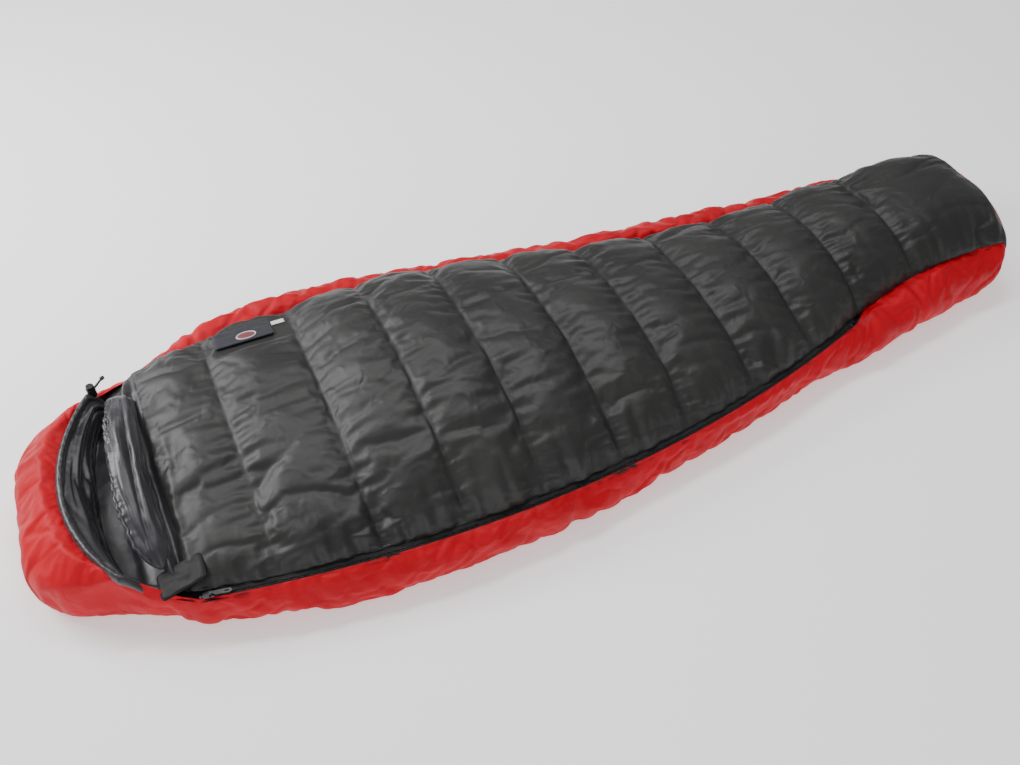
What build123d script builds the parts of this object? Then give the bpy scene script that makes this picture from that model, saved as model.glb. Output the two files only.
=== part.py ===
"""Mummy sleeping bag, laid flat on its back and zipped shut.

Frame, in millimetres: X runs from the hood (-X) to the feet (+X), Z is up from the floor,
and -Y is the wearer's right side, where the zip is. The origin is on the floor, under the
middle of the bag.

A quilted top lies on a quilted bottom. The top is in two bodies, which meet along a diagonal
fold: the flap, on the zip side, is thrown open when the zip is undone, and the rest stays.
The zip is an arc in a level plane, so that its slider swings about the centre of that arc.
"""

import os
from math import asin, cos, degrees, hypot, radians, sin, sqrt

from build123d import *

os.makedirs("parts", exist_ok=True)
MIN_Z = (Align.CENTER, Align.CENTER, Align.MIN)

# ---------------------------------------------------------------- driving dimensions
CLOTH = 1.2            # thickness given to each layer of shell or lining cloth
GAP = 0.3              # air between layers
BOTTOM_TOP = 40        # top of the bottom quilt's filling
SIDE_TOP = 70          # top of the side filling beside the zip, under the slider
TOP_BASE = 85.5        # underside of the top quilt's filling
PUFF = 22              # how much higher a chamber stands than the seams at its ends
TOE_X = 1000           # where the foot panel begins
TOE_DEPTH = 22         # thickness of the foot panel's filling
TOE_ROUNDING = 12      # how far the foot panel's outline draws in

# The neck, the head end of the top quilt, each seam sewn across it, and the feet:
# x, right side on the floor, left seam, left side on the floor, height of the seam's crown
STATIONS = [
    (-835, -252, 215, 247, 100),
    (-768, -300, 250, 285, 112),
    (-628, -341, 283, 350, 135),
    (-455, -368, 290, 375, 152),
    (-306, -376, 292, 366, 190),
    (-157, -372, 277, 347, 186),
    (0, -355, 251, 325, 172),
    (151, -326, 219, 297, 164),
    (312, -297, 194, 275, 148),
    (465, -262, 178, 258, 150),
    (617, -241, 171, 244, 156),
    (776, -212, 170, 234, 158),
    (TOE_X, -176, 152, 204, 168),
]
X, RIGHT_FLOOR, LEFT_SEAM, LEFT_FLOOR, CROWN = range(5)
NECK_X, QUILT_X = STATIONS[0][X], STATIONS[1][X]
RISE_START, RISE_END = 617, TOE_X    # the side seams climb between these
TOE_SEAM_RISE = 38

# zip: an arc in the plane z = ZIP_Z, about (ZIP_X, ZIP_Y)
ZIP_R = 2506
ZIP_X = -237
ZIP_Y = ZIP_R - 337
ZIP_Z = 80
ZIP_HEAD_X, ZIP_FOOT_X = -760, 590
SLIDER_HEAD_X, SLIDER_FOOT_X = -745, 566
FLAP_ZIP_X = -731      # the flap's half of the zip starts behind the parked slider
FLAP_ZIP_FOOT_X = 486  # and ends short of the fold, where it would sweep over the outer half
TAPE_WIDTH = 12.5
TAPE_THICK = 0.8
COIL_WIDTH, COIL_HEIGHT = 2.6, 2.4
COIL_GAP = 1.0         # half the gap between the two coils, which the slider's post runs in
NECK_TAPER = 0.63      # how fast the seam draws in between the zip and the hood
QUILT_INSET = 16       # from the zip's middle to the edge of the top quilt

# fold line of the flap: from the left shoulder to the foot of the zip
FOLD_HEAD = (-758, 199, 172)
FOLD_FOOT = (572, -226, 96)
FOLD_OPEN = 120        # degrees
FOLD_GAP = 0.4

# hood
HOOD_FRONT_X = -836
HOOD_BACK_X = -1030
HOOD_FRONT_RIGHT, HOOD_FRONT_LEFT = -252, 247
HOOD_BACK_RIGHT, HOOD_BACK_LEFT = -178, 172
HOOD_CORNER_R = 105
HOOD_TOP = 110
HOOD_SLOPE_X = -860    # from here to the neck the top of the hood slopes down
HOOD_NECK_Z = 70       # also the height that the hood tilts about
FACE_RIGHT, FACE_BACK, FACE_LEFT = (-858, -212), (-930, -12), (-852, 197)
RIM_R, CORD_R, CORD_BORE_R = 7, 2.2, 2.6
TAIL = 52              # drawcord beyond its channel


# ---------------------------------------------------------------- shape of the bag
def along(column, x):
    """A column of STATIONS at any x, in straight lines between the seams."""
    for a, b in zip(STATIONS, STATIONS[1:]):
        if x <= b[X]:
            break
    return a[column] + (b[column] - a[column]) * (x - a[X]) / (b[X] - a[X])


def zip_line(x, inset=0):
    """Y of the zip's middle line, or of a line inset towards the bag's middle."""
    return ZIP_Y - sqrt((ZIP_R - inset) ** 2 - (x - ZIP_X) ** 2)


def right_seam(x):
    """Y of the seam on the zip's side: in to the neck, the zip's arc, a curve to the foot."""
    if x < ZIP_HEAD_X:
        return zip_line(ZIP_HEAD_X) + NECK_TAPER * (ZIP_HEAD_X - x)
    if x <= ZIP_FOOT_X:
        return zip_line(x)
    s = x - ZIP_FOOT_X
    slope = (ZIP_FOOT_X - ZIP_X) / sqrt(ZIP_R**2 - (ZIP_FOOT_X - ZIP_X) ** 2)
    return zip_line(ZIP_FOOT_X) + slope * s * (1 - 0.55 * s / (TOE_X - ZIP_FOOT_X))


def top_base(x):
    """Height of the top quilt's underside, which climbs towards the feet."""
    climb = (x - RISE_START) / (RISE_END - RISE_START)
    return TOP_BASE + TOE_SEAM_RISE * min(max(climb, 0), 1)


def crown(x):
    """Height of the top quilt's ridge: low on a seam, high half way between two."""
    for a, b in zip(STATIONS, STATIONS[1:]):
        if a[X] < x < b[X]:
            t = (x - a[X]) / (b[X] - a[X])
            return a[CROWN] + (b[CROWN] - a[CROWN]) * t + PUFF * 4 * t * (1 - t)
    return along(CROWN, x)


def quilt_edges(x):
    """Both edges of the top quilt's filling at x."""
    return right_seam(x) + QUILT_INSET, along(LEFT_SEAM, x)


def quilt_top(x, y):
    """Height of the top quilt at a point: the arc through both edges and the ridge."""
    right, left = quilt_edges(x)
    base = top_base(x)
    half, rise = (left - right) / 2, crown(x) - base
    radius = (half**2 + rise**2) / (2 * rise)
    return base + rise - radius + sqrt(radius**2 - (y - (left + right) / 2) ** 2)


def section_plane(x):
    """A plane across the bag, in which a sketch's x is Y and its y is Z."""
    return Plane(origin=(x, 0, 0), x_dir=(0, 1, 0), z_dir=(1, 0, 0))


def arch(x):
    """Sketch of the top quilt's section, between its flat underside and its arc."""
    right, left = quilt_edges(x)
    base = top_base(x)
    with BuildSketch(section_plane(x)) as section:
        with BuildLine():
            ThreePointArc((right, base), ((right + left) / 2, crown(x)), (left, base))
            Line((left, base), (right, base))
        make_face()
    return section.sketch


def arch_skin(x):
    """Sketch of the shell cloth over the top quilt."""
    right, left = quilt_edges(x)
    middle, base = (right + left) / 2, top_base(x)
    out, near = GAP + CLOTH, GAP
    with BuildSketch(section_plane(x)) as section:
        with BuildLine():
            ThreePointArc((right - out, base), (middle, crown(x) + out), (left + out, base))
            Line((left + out, base), (left + near, base))
            ThreePointArc((left + near, base), (middle, crown(x) + near), (right - near, base))
            Line((right - near, base), (right - out, base))
        make_face()
    return section.sketch


def band(x, low_y, high_y, low_z, high_z):
    """Sketch of a flat layer's section."""
    with BuildSketch(section_plane(x)) as section:
        with Locations(((low_y + high_y) / 2, (low_z + high_z) / 2)):
            Rectangle(high_y - low_y, high_z - low_z)
    return section.sketch


UNDER = 28             # how far a side curls in under the bag


def side_points(x, side):
    """Hem on the floor, widest point and top edge of one side's shell, and the filling's inner face."""
    if side < 0:
        floor, seam = along(RIGHT_FLOOR, x), right_seam(x)
        edge = (seam - TAPE_WIDTH - 1.8, top_base(x) - 7.7)
        return (floor + UNDER, CLOTH), (floor, 38), edge, seam + 22
    floor, seam = along(LEFT_FLOOR, x), along(LEFT_SEAM, x)
    return (floor - UNDER, CLOTH), (floor, 42), (seam + 10, top_base(x) - 3.7), seam - 25


def circle_through(a, b, c):
    """Centre and radius of the circle through three points."""
    d = 2 * (a[0] * (b[1] - c[1]) + b[0] * (c[1] - a[1]) + c[0] * (a[1] - b[1]))
    aa, bb, cc = (p[0] ** 2 + p[1] ** 2 for p in (a, b, c))
    y = (aa * (b[1] - c[1]) + bb * (c[1] - a[1]) + cc * (a[1] - b[1])) / d
    z = (aa * (c[0] - b[0]) + bb * (a[0] - c[0]) + cc * (b[0] - a[0])) / d
    return y, z, hypot(a[0] - y, a[1] - z)


def side_section(x, side):
    """Sketch of a side's filling, which lies against the inside of its shell."""
    hem, widest, edge, inner = side_points(x, side)
    y, z, radius = circle_through(hem, widest, edge)
    radius -= 5 * GAP
    low = CLOTH + GAP
    foot = (y + side * sqrt(radius**2 - (low - z) ** 2), low)
    if side < 0:
        high = SIDE_TOP + top_base(x) - TOP_BASE
        top = (y - sqrt(radius**2 - (high - z) ** 2), high)
    else:
        top = (edge[0], z + sqrt(radius**2 - (edge[0] - y) ** 2))
    with BuildSketch(section_plane(x)) as section:
        with BuildLine():
            ThreePointArc(foot, (y + side * radius, z), top)
            Polyline(top, (inner, top[1]), (inner, low), foot)
        make_face()
    return section.sketch


def side_skin(x, side):
    """Sketch of the shell cloth round a side, from the floor to the seam with the top."""
    hem, widest, edge, _ = side_points(x, side)
    corner = CLOTH / sqrt(2)
    outer_edge = (edge[0] + side * corner, edge[1] + corner)
    with BuildSketch(section_plane(x)) as section:
        with BuildLine():
            ThreePointArc(hem, widest, edge)
            Line(edge, outer_edge)
            ThreePointArc(outer_edge, (widest[0] + side * CLOTH, widest[1]), (hem[0], GAP))
            Line((hem[0], GAP), hem)
        make_face()
    return section.sketch


def floor_band(x):
    """Sketch of the shell cloth under the bag."""
    right, left = side_points(x, -1)[0][0], side_points(x, 1)[0][0]
    return band(x, right + GAP, left - GAP, 0, CLOTH)


def inside_band(x, low, high):
    """Sketch of a layer of the bottom quilt between the side fillings."""
    right, left = side_points(x, -1)[3], side_points(x, 1)[3]
    return band(x, right + GAP, left - GAP, low, high)


def lining_band(x):
    """Sketch of the lining under the top quilt."""
    high = top_base(x) - GAP
    return band(x, *quilt_edges(x), high - CLOTH, high)


def whole_section(x, inset):
    """Sketch of the bag's whole outline at x, drawn in by inset; past the toe it stays the same."""
    plane = section_plane(x)
    x = min(x, TOE_X)
    right, left = quilt_edges(x)
    foot_r, wide_r, _, _ = side_points(x, -1)
    foot_l, wide_l, _, _ = side_points(x, 1)
    base, ridge = top_base(x), crown(x) - inset
    seam_r, seam_l = (right - 8 + inset, base), (left + 4 - inset, base)
    low = CLOTH + GAP + inset
    low_r, low_l = (foot_r[0] + inset, low), (foot_l[0] - inset, low)
    with BuildSketch(plane) as section:
        with BuildLine():
            ThreePointArc(low_r, (wide_r[0] + inset, wide_r[1]), seam_r)
            ThreePointArc(seam_r, ((right + left) / 2, ridge), seam_l)
            ThreePointArc(seam_l, (wide_l[0] - inset, wide_l[1]), low_l)
            Line(low_l, low_r)
        make_face()
    return section.sketch


def stations_between(start, end, halves=False):
    """Seam positions from start to end, with the middles of the chambers if asked."""
    inner = [row[X] for row in STATIONS if start < row[X] < end]
    xs = [start, *inner, end]
    if halves:
        middles = [(a + b) / 2 for a, b in zip(xs, xs[1:])]
        xs = sorted(xs + middles)
    return xs


def save(part, name):
    """Label a finished piece and write it to its own file."""
    part.label = name
    export_step(part, f"parts/{name}.step")


# ---------------------------------------------------------------- fold planes
fold_head, fold_foot = Vector(*FOLD_HEAD), Vector(*FOLD_FOOT)
fold_axis = (fold_head - fold_foot).normalized()
fold_level = Vector(fold_axis.X, fold_axis.Y, 0).normalized()
to_left = Vector(-fold_level.Y, fold_level.X, 0)
if to_left.Y < 0:
    to_left = to_left * -1
CLEARANCE_SLOPE = radians(90 - FOLD_OPEN / 2)


def fold_wall(side):
    """Upright plane along the fold, on one side of it; its normal points away from it."""
    return Plane(origin=fold_head + to_left * side * FOLD_GAP, x_dir=fold_axis,
                 z_dir=to_left * side)


def fold_valley(side):
    """Plane that climbs away from the fold, which the quilt stays under so that it can fold."""
    up = (to_left * side * -sin(CLEARANCE_SLOPE)) + Vector(0, 0, cos(CLEARANCE_SLOPE))
    normal = up - fold_axis * up.dot(fold_axis)
    return Plane(origin=fold_head - Vector(0, 0, 1), x_dir=fold_axis, z_dir=normal.normalized())


def cut_at_fold(side):
    """Keep the part of the piece being built that is on one side of the fold."""
    split(bisect_by=fold_wall(side), keep=Keep.TOP)
    split(bisect_by=fold_valley(side), keep=Keep.BOTTOM)


FLAP, REST = -1, 1

# ---------------------------------------------------------------- bottom quilt
with BuildPart() as bottom_shell:
    loft([floor_band(x) for x in stations_between(NECK_X, TOE_X)], ruled=True)
save(bottom_shell.part, "bottom_shell")

BOTTOM_QUILTS = {"shoulder": (NECK_X, -157), "hip": (-157, 465), "leg": (465, TOE_X)}
for name, (start, end) in BOTTOM_QUILTS.items():
    with BuildPart() as bottom_fill:
        levels = CLOTH + GAP, BOTTOM_TOP
        loft([inside_band(x, *levels) for x in stations_between(start, end)], ruled=True)
    save(bottom_fill.part, f"bottom_fill_{name}")

with BuildPart() as bottom_lining:
    levels = BOTTOM_TOP + GAP, BOTTOM_TOP + GAP + CLOTH
    loft([inside_band(x, *levels) for x in stations_between(NECK_X, TOE_X)], ruled=True)
save(bottom_lining.part, "bottom_lining")

# ---------------------------------------------------------------- sides and foot
SIDE_CUTS = [NECK_X, -628, -455, -157, 151, 465, 776, TOE_X]
for name, side in (("right", -1), ("left", 1)):
    lengths = []
    for start, end in zip(SIDE_CUTS, SIDE_CUTS[1:]):
        with BuildPart() as length:
            loft([side_section(x, side) for x in stations_between(start, end)], ruled=True)
        lengths.append(length.part)
    save(Compound(children=lengths), f"side_fill_{name}")

    with BuildPart() as side_shell:
        loft([side_skin(x, side) for x in stations_between(NECK_X, TOE_X)], ruled=True)
    save(side_shell.part, f"side_shell_{name}")

with BuildPart() as foot_fill:
    loft([whole_section(TOE_X + GAP, 0),
          whole_section(TOE_X + TOE_DEPTH, TOE_ROUNDING)], ruled=True)
save(foot_fill.part, "foot_fill")

with BuildPart() as foot_shell:
    loft([whole_section(TOE_X + GAP, -GAP - CLOTH),
          whole_section(TOE_X + TOE_DEPTH + GAP + CLOTH, TOE_ROUNDING - CLOTH)], ruled=True)
    loft([whole_section(TOE_X + GAP, -GAP),
          whole_section(TOE_X + TOE_DEPTH + GAP, TOE_ROUNDING - GAP)],
         ruled=True, mode=Mode.SUBTRACT)
save(foot_shell.part, "foot_shell")

# ---------------------------------------------------------------- top quilt
CHAMBERS = [(a[X], b[X]) for a, b in zip(STATIONS[1:], STATIONS[2:])]
FLAP_CHAMBERS = [[0], [1], [2], [3], [4], [5], [6], [7, 8]]
REST_CHAMBERS = [[0, 1], [2], [3], [4], [5], [6], [7], [8], [9], [10]]


def chamber(number, side):
    """One chamber's filling, on one side of the fold."""
    start, end = CHAMBERS[number]
    with BuildPart() as filling:
        loft([arch(x) for x in stations_between(start, end, halves=True)], ruled=True)
        cut_at_fold(side)
    return filling.part


for name, side, groups in (("flap", FLAP, FLAP_CHAMBERS), ("rest", REST, REST_CHAMBERS)):
    for group in groups:
        pieces = [chamber(number, side) for number in group]
        label = "_".join(str(number + 1) for number in group)
        save(Compound(children=pieces), f"{name}_fill_{label}")

    with BuildPart() as top_shell:
        loft([arch_skin(x) for x in stations_between(QUILT_X, TOE_X, halves=True)], ruled=True)
        cut_at_fold(side)
    save(top_shell.part, f"{name}_shell")

    with BuildPart() as top_lining:
        loft([lining_band(x) for x in stations_between(QUILT_X, TOE_X)], ruled=True)
        cut_at_fold(side)
    save(top_lining.part, f"{name}_lining")


# ---------------------------------------------------------------- zip
def arc_strip(start_x, end_x, inner, outer, low, high):
    """A strip of the zip between two distances from the middle of its arc."""
    angles = [degrees(asin((x - ZIP_X) / ZIP_R)) - 90 for x in (start_x, end_x)]
    with BuildPart() as strip:
        with BuildSketch(Plane.XY.offset(low)):
            with BuildLine():
                near = CenterArc((ZIP_X, ZIP_Y), inner, angles[0], angles[1] - angles[0])
                far = CenterArc((ZIP_X, ZIP_Y), outer, angles[0], angles[1] - angles[0])
                Line(near @ 0, far @ 0)
                Line(near @ 1, far @ 1)
            make_face()
        extrude(amount=high - low)
    return strip.part


def tape(start_x, end_x, side):
    """The tape on one side of the zip's middle: +1 is the outer, lower one."""
    edges = sorted(ZIP_R + side * width for width in (COIL_GAP + COIL_WIDTH, TAPE_WIDTH))
    return arc_strip(start_x, end_x, *edges, ZIP_Z - TAPE_THICK / 2, ZIP_Z + TAPE_THICK / 2)


def coil(start_x, end_x, side):
    """The row of coil on one side of the zip's middle."""
    edges = sorted(ZIP_R + side * width for width in (COIL_GAP, COIL_GAP + COIL_WIDTH))
    return arc_strip(start_x, end_x, *edges, ZIP_Z - COIL_HEIGHT / 2, ZIP_Z + COIL_HEIGHT / 2)


OUTER, INNER = 1, -1
PARK_X = FLAP_ZIP_FOOT_X + 4     # the fixed end of the inner half starts here
for name, piece in (("tape", tape), ("coil", coil)):
    whole = piece(ZIP_HEAD_X, ZIP_FOOT_X, OUTER)
    end = piece(PARK_X, ZIP_FOOT_X, INNER)
    save(Compound(children=[whole, end]), f"zip_{name}_fixed")
    save(piece(FLAP_ZIP_X, FLAP_ZIP_FOOT_X, INNER), f"zip_{name}_flap")


def along_zip(x):
    """A level plane on the zip's middle line, with its x along the zip and its y inwards."""
    turn = degrees(asin((x - ZIP_X) / ZIP_R))
    return Plane(origin=(x, zip_line(x), ZIP_Z)).rotated((0, 0, turn))


# Stops: one across both coils at the feet, one on the outer coil at the neck
STOPS = {"zip_bottom_stop": (ZIP_FOOT_X - 4, 0, 9), "zip_top_stop": (ZIP_HEAD_X + 2.2, -2.4, 4.4)}
for name, (stop_x, shift, width) in STOPS.items():
    with BuildPart(along_zip(stop_x)) as stop:
        with Locations((0, shift, COIL_HEIGHT / 2 + GAP)):
            Box(4, width, 1.6, align=MIN_Z)
        fillet(stop.edges().filter_by(Axis.Z), 0.8)
    save(stop.part, name)

# Slider: two plates with a post between the coils, and two lugs that hold the pull's pin
SLIDER_LENGTH, SLIDER_WIDTH, PLATE = 20, 12, 1.4
PLATE_GAP = COIL_HEIGHT / 2 + 0.5
POST_WIDTH = 2 * COIL_GAP - 0.8
ROOF = PLATE_GAP + PLATE
PIN_X, PIN_Z, PIN_R = 3, ROOF + 2.6, 0.9
LUG_LENGTH, LUG_WIDTH, LUG_INSIDE = 3.6, 1.2, 2.1
with BuildPart(along_zip(SLIDER_HEAD_X)) as zip_slider:
    with Locations((0, 0, PLATE_GAP), (0, 0, -ROOF)):
        Box(SLIDER_LENGTH, SLIDER_WIDTH, PLATE, align=MIN_Z)
    fillet(zip_slider.edges().filter_by(Axis.Z), 2.5)
    Box(6, POST_WIDTH, 2 * ROOF)
    lug_y = LUG_INSIDE + LUG_WIDTH / 2
    with Locations((PIN_X, lug_y, ROOF), (PIN_X, -lug_y, ROOF)):
        Box(LUG_LENGTH, LUG_WIDTH, PIN_Z - ROOF + 1.6, align=MIN_Z)
    with Locations((PIN_X, 0, PIN_Z)):
        Cylinder(PIN_R, 2 * lug_y, rotation=(90, 0, 0))
save(zip_slider.part, "zip_slider")

# Pull: a plate with an eye round the pin, lying towards the feet
PULL_LENGTH, PULL_WIDTH, PULL_THICK, EYE_R = 30, 8, 1.2, 2.2
with BuildPart(along_zip(SLIDER_HEAD_X)) as zip_pull:
    with Locations((PIN_X, 0, PIN_Z)):
        Cylinder(EYE_R, 2 * LUG_INSIDE - 0.6, rotation=(90, 0, 0))
    with Locations((PIN_X + 4, 0, PIN_Z)):
        Box(8, 2 * LUG_INSIDE - 0.6, PULL_THICK)
    with BuildSketch(along_zip(SLIDER_HEAD_X).offset(PIN_Z - PULL_THICK / 2)):
        with Locations((PIN_X + 5 + PULL_LENGTH / 2, 0)):
            SlotOverall(PULL_LENGTH, PULL_WIDTH)
        with Locations((PIN_X + PULL_LENGTH - 3, 0)):
            SlotOverall(8, 3, mode=Mode.SUBTRACT)
    extrude(amount=PULL_THICK)
    with Locations((PIN_X, 0, PIN_Z)):
        Cylinder(PIN_R + 0.3, PULL_WIDTH, rotation=(90, 0, 0), mode=Mode.SUBTRACT)
save(zip_pull.part, "zip_pull")

# Draft tube: a padded roll inside the bag, along the side filling behind the zip
TUBE_R, TUBE_INSET, TUBE_Z, TUBE_LENGTHS = 8, 33, 58, 8
TUBE_ENDS = [degrees(asin((x - ZIP_X) / ZIP_R)) - 90 for x in (-735, 560)]
tube_turn = (TUBE_ENDS[1] - TUBE_ENDS[0]) / TUBE_LENGTHS
tube_lengths = []
for number in range(TUBE_LENGTHS):
    with BuildPart() as length:
        with BuildLine():
            path = CenterArc((ZIP_X, ZIP_Y, TUBE_Z), ZIP_R - TUBE_INSET,
                             TUBE_ENDS[0] + number * tube_turn, tube_turn)
        with BuildSketch(Plane(origin=path @ 0, z_dir=path % 0)):
            Circle(TUBE_R)
        sweep()
    tube_lengths.append(length.part)
save(Compound(children=tube_lengths), "draft_tube")

# ---------------------------------------------------------------- draft collar
COLLAR_RIGHT, COLLAR_MIDDLE, COLLAR_LEFT = (-800, -192), (-810, -5), (-800, 176)
COLLAR_Z, COLLAR_HALF_WIDTH, COLLAR_HALF_HEIGHT = 126, 30, 36
with BuildPart() as draft_collar:
    with BuildLine():
        collar_path = ThreePointArc(*[(*point, COLLAR_Z) for point in
                                      (COLLAR_RIGHT, COLLAR_MIDDLE, COLLAR_LEFT)])
    with BuildSketch(Plane(origin=collar_path @ 0, x_dir=(0, 0, 1), z_dir=collar_path % 0)):
        Ellipse(COLLAR_HALF_HEIGHT, COLLAR_HALF_WIDTH)
    sweep()
save(draft_collar.part, "draft_collar")

# ---------------------------------------------------------------- closure tab over the zip's end
TAB_HINGE_X, TAB_HINGE_Z, TAB_Y = -737, 109, -243
TAB_LENGTH, TAB_WIDTH, TAB_THICK, TAB_FALL = 84, 54, 2.4, 18
PATCH_LENGTH, PATCH_WIDTH, HOOK_THICK, LOOP_THICK = 34, 40, 1.4, 6
fall_x, fall_z = cos(radians(TAB_FALL)), sin(radians(TAB_FALL))
tab_plane = Plane(origin=(TAB_HINGE_X, TAB_Y, TAB_HINGE_Z), x_dir=(-fall_x, 0, -fall_z),
                  z_dir=(-fall_z, 0, fall_x))
PATCH_AT = TAB_LENGTH - PATCH_LENGTH / 2 - 6
with BuildPart() as closure_tab:
    with BuildSketch(tab_plane) as tab_outline:
        with Locations((TAB_LENGTH / 2, 0)):
            Rectangle(TAB_LENGTH, TAB_WIDTH)
        fillet(tab_outline.vertices().sort_by(Axis.X)[-2:], 14)
    extrude(amount=TAB_THICK)
save(closure_tab.part, "closure_tab")

PATCHES = {"tab_hook_patch": (-HOOK_THICK, HOOK_THICK), "tab_loop_patch": (-8, LOOP_THICK)}
for name, (level, thick) in PATCHES.items():
    with BuildPart() as patch:
        with BuildSketch(tab_plane.offset(level)):
            with Locations((PATCH_AT, 0)):
                RectangleRounded(PATCH_LENGTH, PATCH_WIDTH, 6)
        extrude(amount=thick)
    save(patch.part, name)

# ---------------------------------------------------------------- stash pocket
POCKET_X, POCKET_LENGTH, POCKET_WIDTH, POCKET_THICK = -548, 114, 58, 3
POCKET_HIGH_Y, POCKET_LOW_Y = 204, 262
POCKET_LIFT = 13       # the puffed quilt holds the pocket's lower edge up
POCKET_FLAP_WIDTH, POCKET_FLAP_THICK = 34, 2
high = Vector(POCKET_X, POCKET_HIGH_Y, quilt_top(POCKET_X, POCKET_HIGH_Y) + 4)
low = Vector(POCKET_X, POCKET_LOW_Y, quilt_top(POCKET_X, POCKET_LOW_Y) + 4 + POCKET_LIFT)
down = (low - high).normalized()
pocket_plane = Plane(origin=high, x_dir=(1, 0, 0), z_dir=Vector(1, 0, 0).cross(down))
with BuildPart() as pocket_bag:
    with BuildSketch(pocket_plane):
        with Locations((0, POCKET_WIDTH / 2)):
            RectangleRounded(POCKET_LENGTH, POCKET_WIDTH, 5)
    extrude(amount=POCKET_THICK)
save(pocket_bag.part, "pocket_bag")

flap_level = POCKET_THICK + GAP
with BuildPart() as pocket_flap:
    with BuildSketch(pocket_plane.offset(flap_level)):
        with Locations((0, POCKET_FLAP_WIDTH / 2)):
            RectangleRounded(POCKET_LENGTH, POCKET_FLAP_WIDTH, 4)
    extrude(amount=POCKET_FLAP_THICK)
save(pocket_flap.part, "pocket_flap")

with BuildPart() as pocket_badge:
    with BuildSketch(pocket_plane.offset(flap_level + POCKET_FLAP_THICK)):
        with Locations((6, POCKET_FLAP_WIDTH / 2)):
            Ellipse(20, 13)
    extrude(amount=0.8)
save(pocket_badge.part, "pocket_badge")

with BuildPart() as size_tag:
    with BuildSketch(pocket_plane):
        with Locations((POCKET_LENGTH / 2 + 16, POCKET_WIDTH - 16)):
            Rectangle(26, 14)
    extrude(amount=0.8)
save(size_tag.part, "size_tag")

# ---------------------------------------------------------------- hood
def hood_outline(z, inset, forward=0):
    """Sketch of the hood's outline at a height, drawn in by inset, square towards the neck."""
    front = HOOD_FRONT_X + forward
    back = HOOD_BACK_X + inset
    spread = 1 + forward / (HOOD_FRONT_X - HOOD_BACK_X)
    right = HOOD_BACK_RIGHT + (HOOD_FRONT_RIGHT - HOOD_BACK_RIGHT) * spread
    left = HOOD_BACK_LEFT + (HOOD_FRONT_LEFT - HOOD_BACK_LEFT) * spread
    corners = [
        (front, right + inset),
        (back, HOOD_BACK_RIGHT + inset),
        (back, HOOD_BACK_LEFT - inset),
        (front, left - inset),
    ]
    with BuildSketch(Plane.XY.offset(z)) as outline:
        with BuildLine():
            Polyline(*corners, close=True)
        make_face()
        fillet(outline.vertices().sort_by(Axis.X)[:2], HOOD_CORNER_R - inset)
    return outline.sketch


def hood_form(inset, forward=0):
    """The hood's domed outside, or the same form drawn in by inset on every side."""
    levels = (inset, 20), (38, 0), (78, 8), (HOOD_TOP - inset, 34)
    with BuildPart() as form:
        loft([hood_outline(z, draw + inset, forward) for z, draw in levels], ruled=True)
    return form.part


def face_well(low, inset):
    """The space under the face opening from a level up, drawn in by inset."""
    right, back, left = FACE_RIGHT, FACE_BACK, FACE_LEFT
    front = HOOD_FRONT_X + 40
    start, middle = (right[0], right[1] + inset), (back[0] + inset, back[1])
    finish = (left[0], left[1] - inset)
    with BuildPart() as well:
        with BuildSketch(Plane.XY.offset(low)):
            with BuildLine():
                ThreePointArc(start, middle, finish)
                Polyline(finish, (front, finish[1] + 8), (front, start[1] - 2), start)
            make_face()
        extrude(amount=HOOD_TOP)
    return well.part


def neck_slope(drop):
    """The space over the hood's neck, where its top slopes down."""
    slope = (HOOD_TOP - HOOD_NECK_Z) / (HOOD_FRONT_X - HOOD_SLOPE_X)
    ahead, over = 60, HOOD_TOP + 60
    front = HOOD_FRONT_X + ahead
    with BuildPart() as space:
        with BuildSketch(Plane.XZ.offset(-400)):
            with BuildLine():
                Polyline((HOOD_SLOPE_X, HOOD_TOP - drop), (HOOD_SLOPE_X, over), (front, over),
                         (front, HOOD_NECK_Z - slope * ahead - drop), close=True)
            make_face()
        extrude(amount=800)
    return space.part


def slab(low, high):
    """A level slab wider than the hood."""
    with BuildPart(Plane.XY.offset(low)) as level:
        Box(1000, 900, high - low, align=MIN_Z)
    return level.part.moved(Location((HOOD_BACK_X, 0, 0)))


INNER_LAYER = GAP + CLOTH
with BuildPart() as hood_floor:
    add(hood_form(0))
    add(slab(0, CLOTH), mode=Mode.INTERSECT)
save(hood_floor.part, "hood_floor")

with BuildPart() as hood_shell:
    add(hood_form(0))
    add(slab(-1, CLOTH), mode=Mode.SUBTRACT)
    add(hood_form(CLOTH, forward=20), mode=Mode.SUBTRACT)
    add(face_well(HOOD_TOP - 10, -GAP), mode=Mode.SUBTRACT)
    add(neck_slope(0), mode=Mode.SUBTRACT)
save(hood_shell.part, "hood_shell")

with BuildPart() as hood_fill_pad:
    add(hood_form(INNER_LAYER + GAP))
    add(slab(0, BOTTOM_TOP), mode=Mode.INTERSECT)
save(hood_fill_pad.part, "hood_fill_pad")

with BuildPart() as hood_fill_wall:
    add(hood_form(INNER_LAYER + GAP))
    add(slab(BOTTOM_TOP + GAP, 2 * HOOD_TOP), mode=Mode.INTERSECT)
    add(face_well(BOTTOM_TOP, 0), mode=Mode.SUBTRACT)
    add(neck_slope(INNER_LAYER), mode=Mode.SUBTRACT)
save(hood_fill_wall.part, "hood_fill_wall")

with BuildPart() as hood_lining:
    add(face_well(BOTTOM_TOP + GAP, GAP))
    add(face_well(BOTTOM_TOP + GAP + CLOTH, INNER_LAYER), mode=Mode.SUBTRACT)
    add(slab(0, HOOD_TOP - 2), mode=Mode.INTERSECT)
    with Locations((HOOD_FRONT_X, 0, 0)):
        Box(200, 900, 400, align=(Align.MIN, Align.CENTER, Align.CENTER), mode=Mode.SUBTRACT)
    add(neck_slope(INNER_LAYER), mode=Mode.SUBTRACT)
save(hood_lining.part, "hood_lining")

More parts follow.
